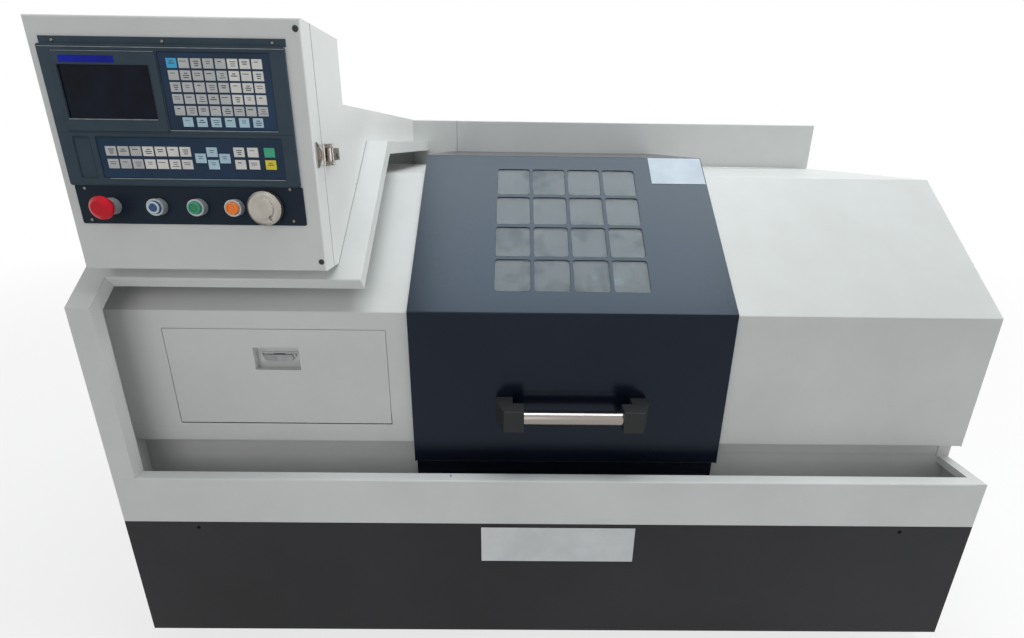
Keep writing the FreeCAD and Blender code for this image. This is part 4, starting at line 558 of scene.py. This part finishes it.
# ---------------------------------------------------------------- access latch
# The latch is a zinc die casting with a sprung paddle. It is set in a recess of the access
# door and swings out under a finger.
die_cast, die_shader = finish_of("zinc die casting", (0.24, 0.245, 0.25), 0.36, 1.0)
mottled(die_cast, die_shader, (0.20, 0.205, 0.21), (0.28, 0.285, 0.29), 50)
grain(die_cast, die_shader, 800, 0.0001, 0.4, edge=0.0008)
dress(die_cast, "access_latch")

# ---------------------------------------------------------------- toggle latch
# The latch is pressed from nickel-plated steel: a hooked keeper on the door, and a lever
# with a wire loop on the cabinet's side.
nickel, nickel_shader = finish_of("nickel plate", (0.38, 0.345, 0.31), 0.27, 1.0)
mottled(nickel, nickel_shader, 0.18, 0.42, 90, socket="Roughness")
grain(nickel, nickel_shader, 500, 0.0001, 0.5, edge=0.0008)
dress(nickel, "latch_keeper", "latch_base", "latch_lever", "latch_loop")

# ---------------------------------------------------------------- cabinet plugs
# Two plugs of black rubber close the spare holes at the control door's right corners. They
# are pressed in from the front.
cabinet_front_y = 15.5
plug_places = ((484, 1268), (484.5, 884))
plugs = bmesh.new()
for x, z in plug_places:
    add_round(plugs, (x, cabinet_front_y, z), [(-1.6, 0), (-2.0, 2.6), (-1.4, 4.6), (0, 5.2)],
              segments=28)
smooth(mesh_piece("corner_plugs", plugs, belt_rubber, "control_door"))

# ---------------------------------------------------------------- cabinet joints
# The control door closes on a thin grey rubber seal that just shows in the joint; the seal's
# dark strip is also painted shadow in the joint. A thin dark strip along the cabinet's foot on the
# hood, which slopes as the guard door does, is painted shade where the cabinet's side meets the
# hood.
cabinet_side_x = 493.0
cabinet_top = 1283.7
seal_low = 868
seal_left = 48
seal_front_y, seal_rear_y = (56.6, 57.4)
seal_inside = 0.3
seal_proud = 0.25
bead_middle = (cabinet_side_x, 220.3, 982.2)
bead_size = (0.7, 354, 1.3)
# Both strips are dark as painted shade: the seal paints the joint's shadow, the foot strip the
# crease's shade.
seal_and_shadow_rubber, seal_and_shadow_shader = finish_of("joint rubber and painted shadow", (0.10, 0.105, 0.105), 0.7, gloss=0.2)
grain(seal_and_shadow_rubber, seal_and_shadow_shader, 900, 0.0001, 0.4, edge=0.0002)
seal = bmesh.new()
add_field(seal, (cabinet_side_x - seal_inside, cabinet_side_x + seal_proud, seal_low, cabinet_top),
          seal_front_y, seal_rear_y, 0)
add_field(seal, (seal_left, cabinet_side_x, cabinet_top - seal_inside, cabinet_top + seal_proud),
          seal_front_y, seal_rear_y, 0)
mesh_piece("door_seal_and_painted_shadow", seal, seal_and_shadow_rubber, "control_door")

# This dark strip is painted shade along the cabinet's foot on the hood.
bead = bmesh.new()
add_slab(bead, bead_middle, bead_size, 0, tilt=door_slope)
mesh_piece("foot_painted_shade_strip", bead, seal_and_shadow_rubber, "machine")

# ---------------------------------------------------------------- studio
# A pale seamless floor with large soft lamps overhead, at the right and in front. Towards the
# horizon the floor turns into the white of the backdrop, for the camera and in reflections.
floor_face, floor_shader = finish_of("pale floor", (0.85, 0.85, 0.85), 0.9)
half = 30
floor_corners = [(-half, -half, 0), (half, -half, 0), (half, half, 0), (-half, half, 0)]
floor_mesh = bpy.data.meshes.new("floor")
floor_mesh.from_pydata(floor_corners, [], [(0, 1, 2, 3)])
floor = bpy.data.objects.new("floor", floor_mesh)
bpy.context.scene.collection.objects.link(floor)
floor_mesh.materials.append(floor_face)


def seen_directly(tree):
    """A socket that is 1 for what the camera sees itself, in metal or through glass."""
    path = tree.nodes.new("ShaderNodeLightPath")
    seen = path.outputs["Is Camera Ray"]
    for kind in ("Is Glossy Ray", "Is Transmission Ray"):
        larger = tree.nodes.new("ShaderNodeMath")
        larger.operation = "MAXIMUM"
        tree.links.new(seen, larger.inputs[0])
        tree.links.new(path.outputs[kind], larger.inputs[1])
        seen = larger.outputs["Value"]
    return seen


floor_tree = floor_face.node_tree
floor_place = node_in(floor_face, "ShaderNodeTexCoord")
floor_reach = floor_tree.nodes.new("ShaderNodeVectorMath")
floor_reach.operation = "LENGTH"
fade = node_in(floor_face, "ShaderNodeMapRange", From_Min=1.5, From_Max=6.0, To_Min=0.75,
               To_Max=1.0)
share = floor_tree.nodes.new("ShaderNodeMath")
share.operation = "MULTIPLY"
floor_white = node_in(floor_face, "ShaderNodeEmission", Color=(1, 1, 1, 1), Strength=1.0)
floor_mix = floor_tree.nodes.new("ShaderNodeMixShader")
floor_tree.links.new(floor_place.outputs["Object"], floor_reach.inputs[0])
floor_tree.links.new(floor_reach.outputs["Value"], fade.inputs["Value"])
floor_tree.links.new(fade.outputs["Result"], share.inputs[0])
floor_tree.links.new(seen_directly(floor_tree), share.inputs[1])
floor_tree.links.new(share.outputs["Value"], floor_mix.inputs["Fac"])
floor_tree.links.new(floor_shader.outputs["BSDF"], floor_mix.inputs[1])
floor_tree.links.new(floor_white.outputs["Emission"], floor_mix.inputs[2])
floor_tree.links.new(floor_mix.outputs["Shader"],
                     floor_tree.nodes["Material Output"].inputs["Surface"])


def soft_light(name, at, towards, size, power, color):
    """A rectangular soft lamp that faces a point."""
    lamp = bpy.data.lights.new(name, "AREA")
    lamp.shape = "RECTANGLE"
    lamp.size, lamp.size_y = size
    lamp.energy = power
    lamp.color = color
    holder = bpy.data.objects.new(name, lamp)
    holder.location = at
    holder.rotation_euler = (Vector(towards) - Vector(at)).to_track_quat("-Z", "Y").to_euler()
    bpy.context.scene.collection.objects.link(holder)


soft_light("overhead", (0.55, -0.27, 4.2), (0.55, -0.26, 0.6), (2.9, 1.7), 96, (0.94, 1.0, 1.0))
soft_light("side_fill", (7.0, 0.6, 2.2), (0, 0.2, 0.9), (4.0, 4.0), 270, (1.0, 1.0, 0.99))
soft_light("front_fill", (-1.2, -4.2, 2.4), (-0.2, 0, 0.6), (3.0, 3.0), 32, (1.0, 0.97, 0.955))

world = bpy.data.worlds.new("studio")
world.use_nodes = True
backdrop = world.node_tree.nodes["Background"]
backdrop.inputs["Color"].default_value = (0.84, 0.85, 0.865, 1)
backdrop.inputs["Strength"].default_value = 0.34
white = world.node_tree.nodes.new("ShaderNodeBackground")
white.inputs["Color"].default_value = (1, 1, 1, 1)
white.inputs["Strength"].default_value = 1.0
either = world.node_tree.nodes.new("ShaderNodeMixShader")
world.node_tree.links.new(seen_directly(world.node_tree), either.inputs["Fac"])
world.node_tree.links.new(backdrop.outputs["Background"], either.inputs[1])
world.node_tree.links.new(white.outputs["Background"], either.inputs[2])
world.node_tree.links.new(either.outputs["Shader"],
                          world.node_tree.nodes["World Output"].inputs["Surface"])
bpy.context.scene.world = world
bpy.context.scene.view_settings.view_transform = "Standard"

# ---------------------------------------------------------------- camera
# The photograph's viewpoint: a wide lens in front of the door, above the machine. Widths in
# the picture are in its own pixels.
picture_width = 1024
picture_middle = 518.24
focal_length = 519.69
film_width = 36
viewpoint = (841.91, -931.89, 1099.55)
pitch = math.radians(18.83)
yaw = math.radians(0.52)
roll = math.radians(-0.76)
ahead = Vector((math.sin(yaw) * math.cos(pitch), math.cos(yaw) * math.cos(pitch),
                -math.sin(pitch)))
level_right = Vector((math.cos(yaw), -math.sin(yaw), 0))
level_down = ahead.cross(level_right)
right = level_right * math.cos(roll) + level_down * math.sin(roll)
down = level_down * math.cos(roll) - level_right * math.sin(roll)
lens = bpy.data.cameras.new("camera")
lens.sensor_width = film_width
lens.lens = film_width * focal_length / picture_width
lens.shift_x = (picture_width / 2 - picture_middle) / picture_width
lens.clip_end = 100
camera = bpy.data.objects.new("camera", lens)
camera.matrix_world = Matrix.Translation(place(*viewpoint)) @ Matrix(
    (right, -down, -ahead)).transposed().to_4x4()
bpy.context.scene.collection.objects.link(camera)
bpy.context.scene.camera = camera
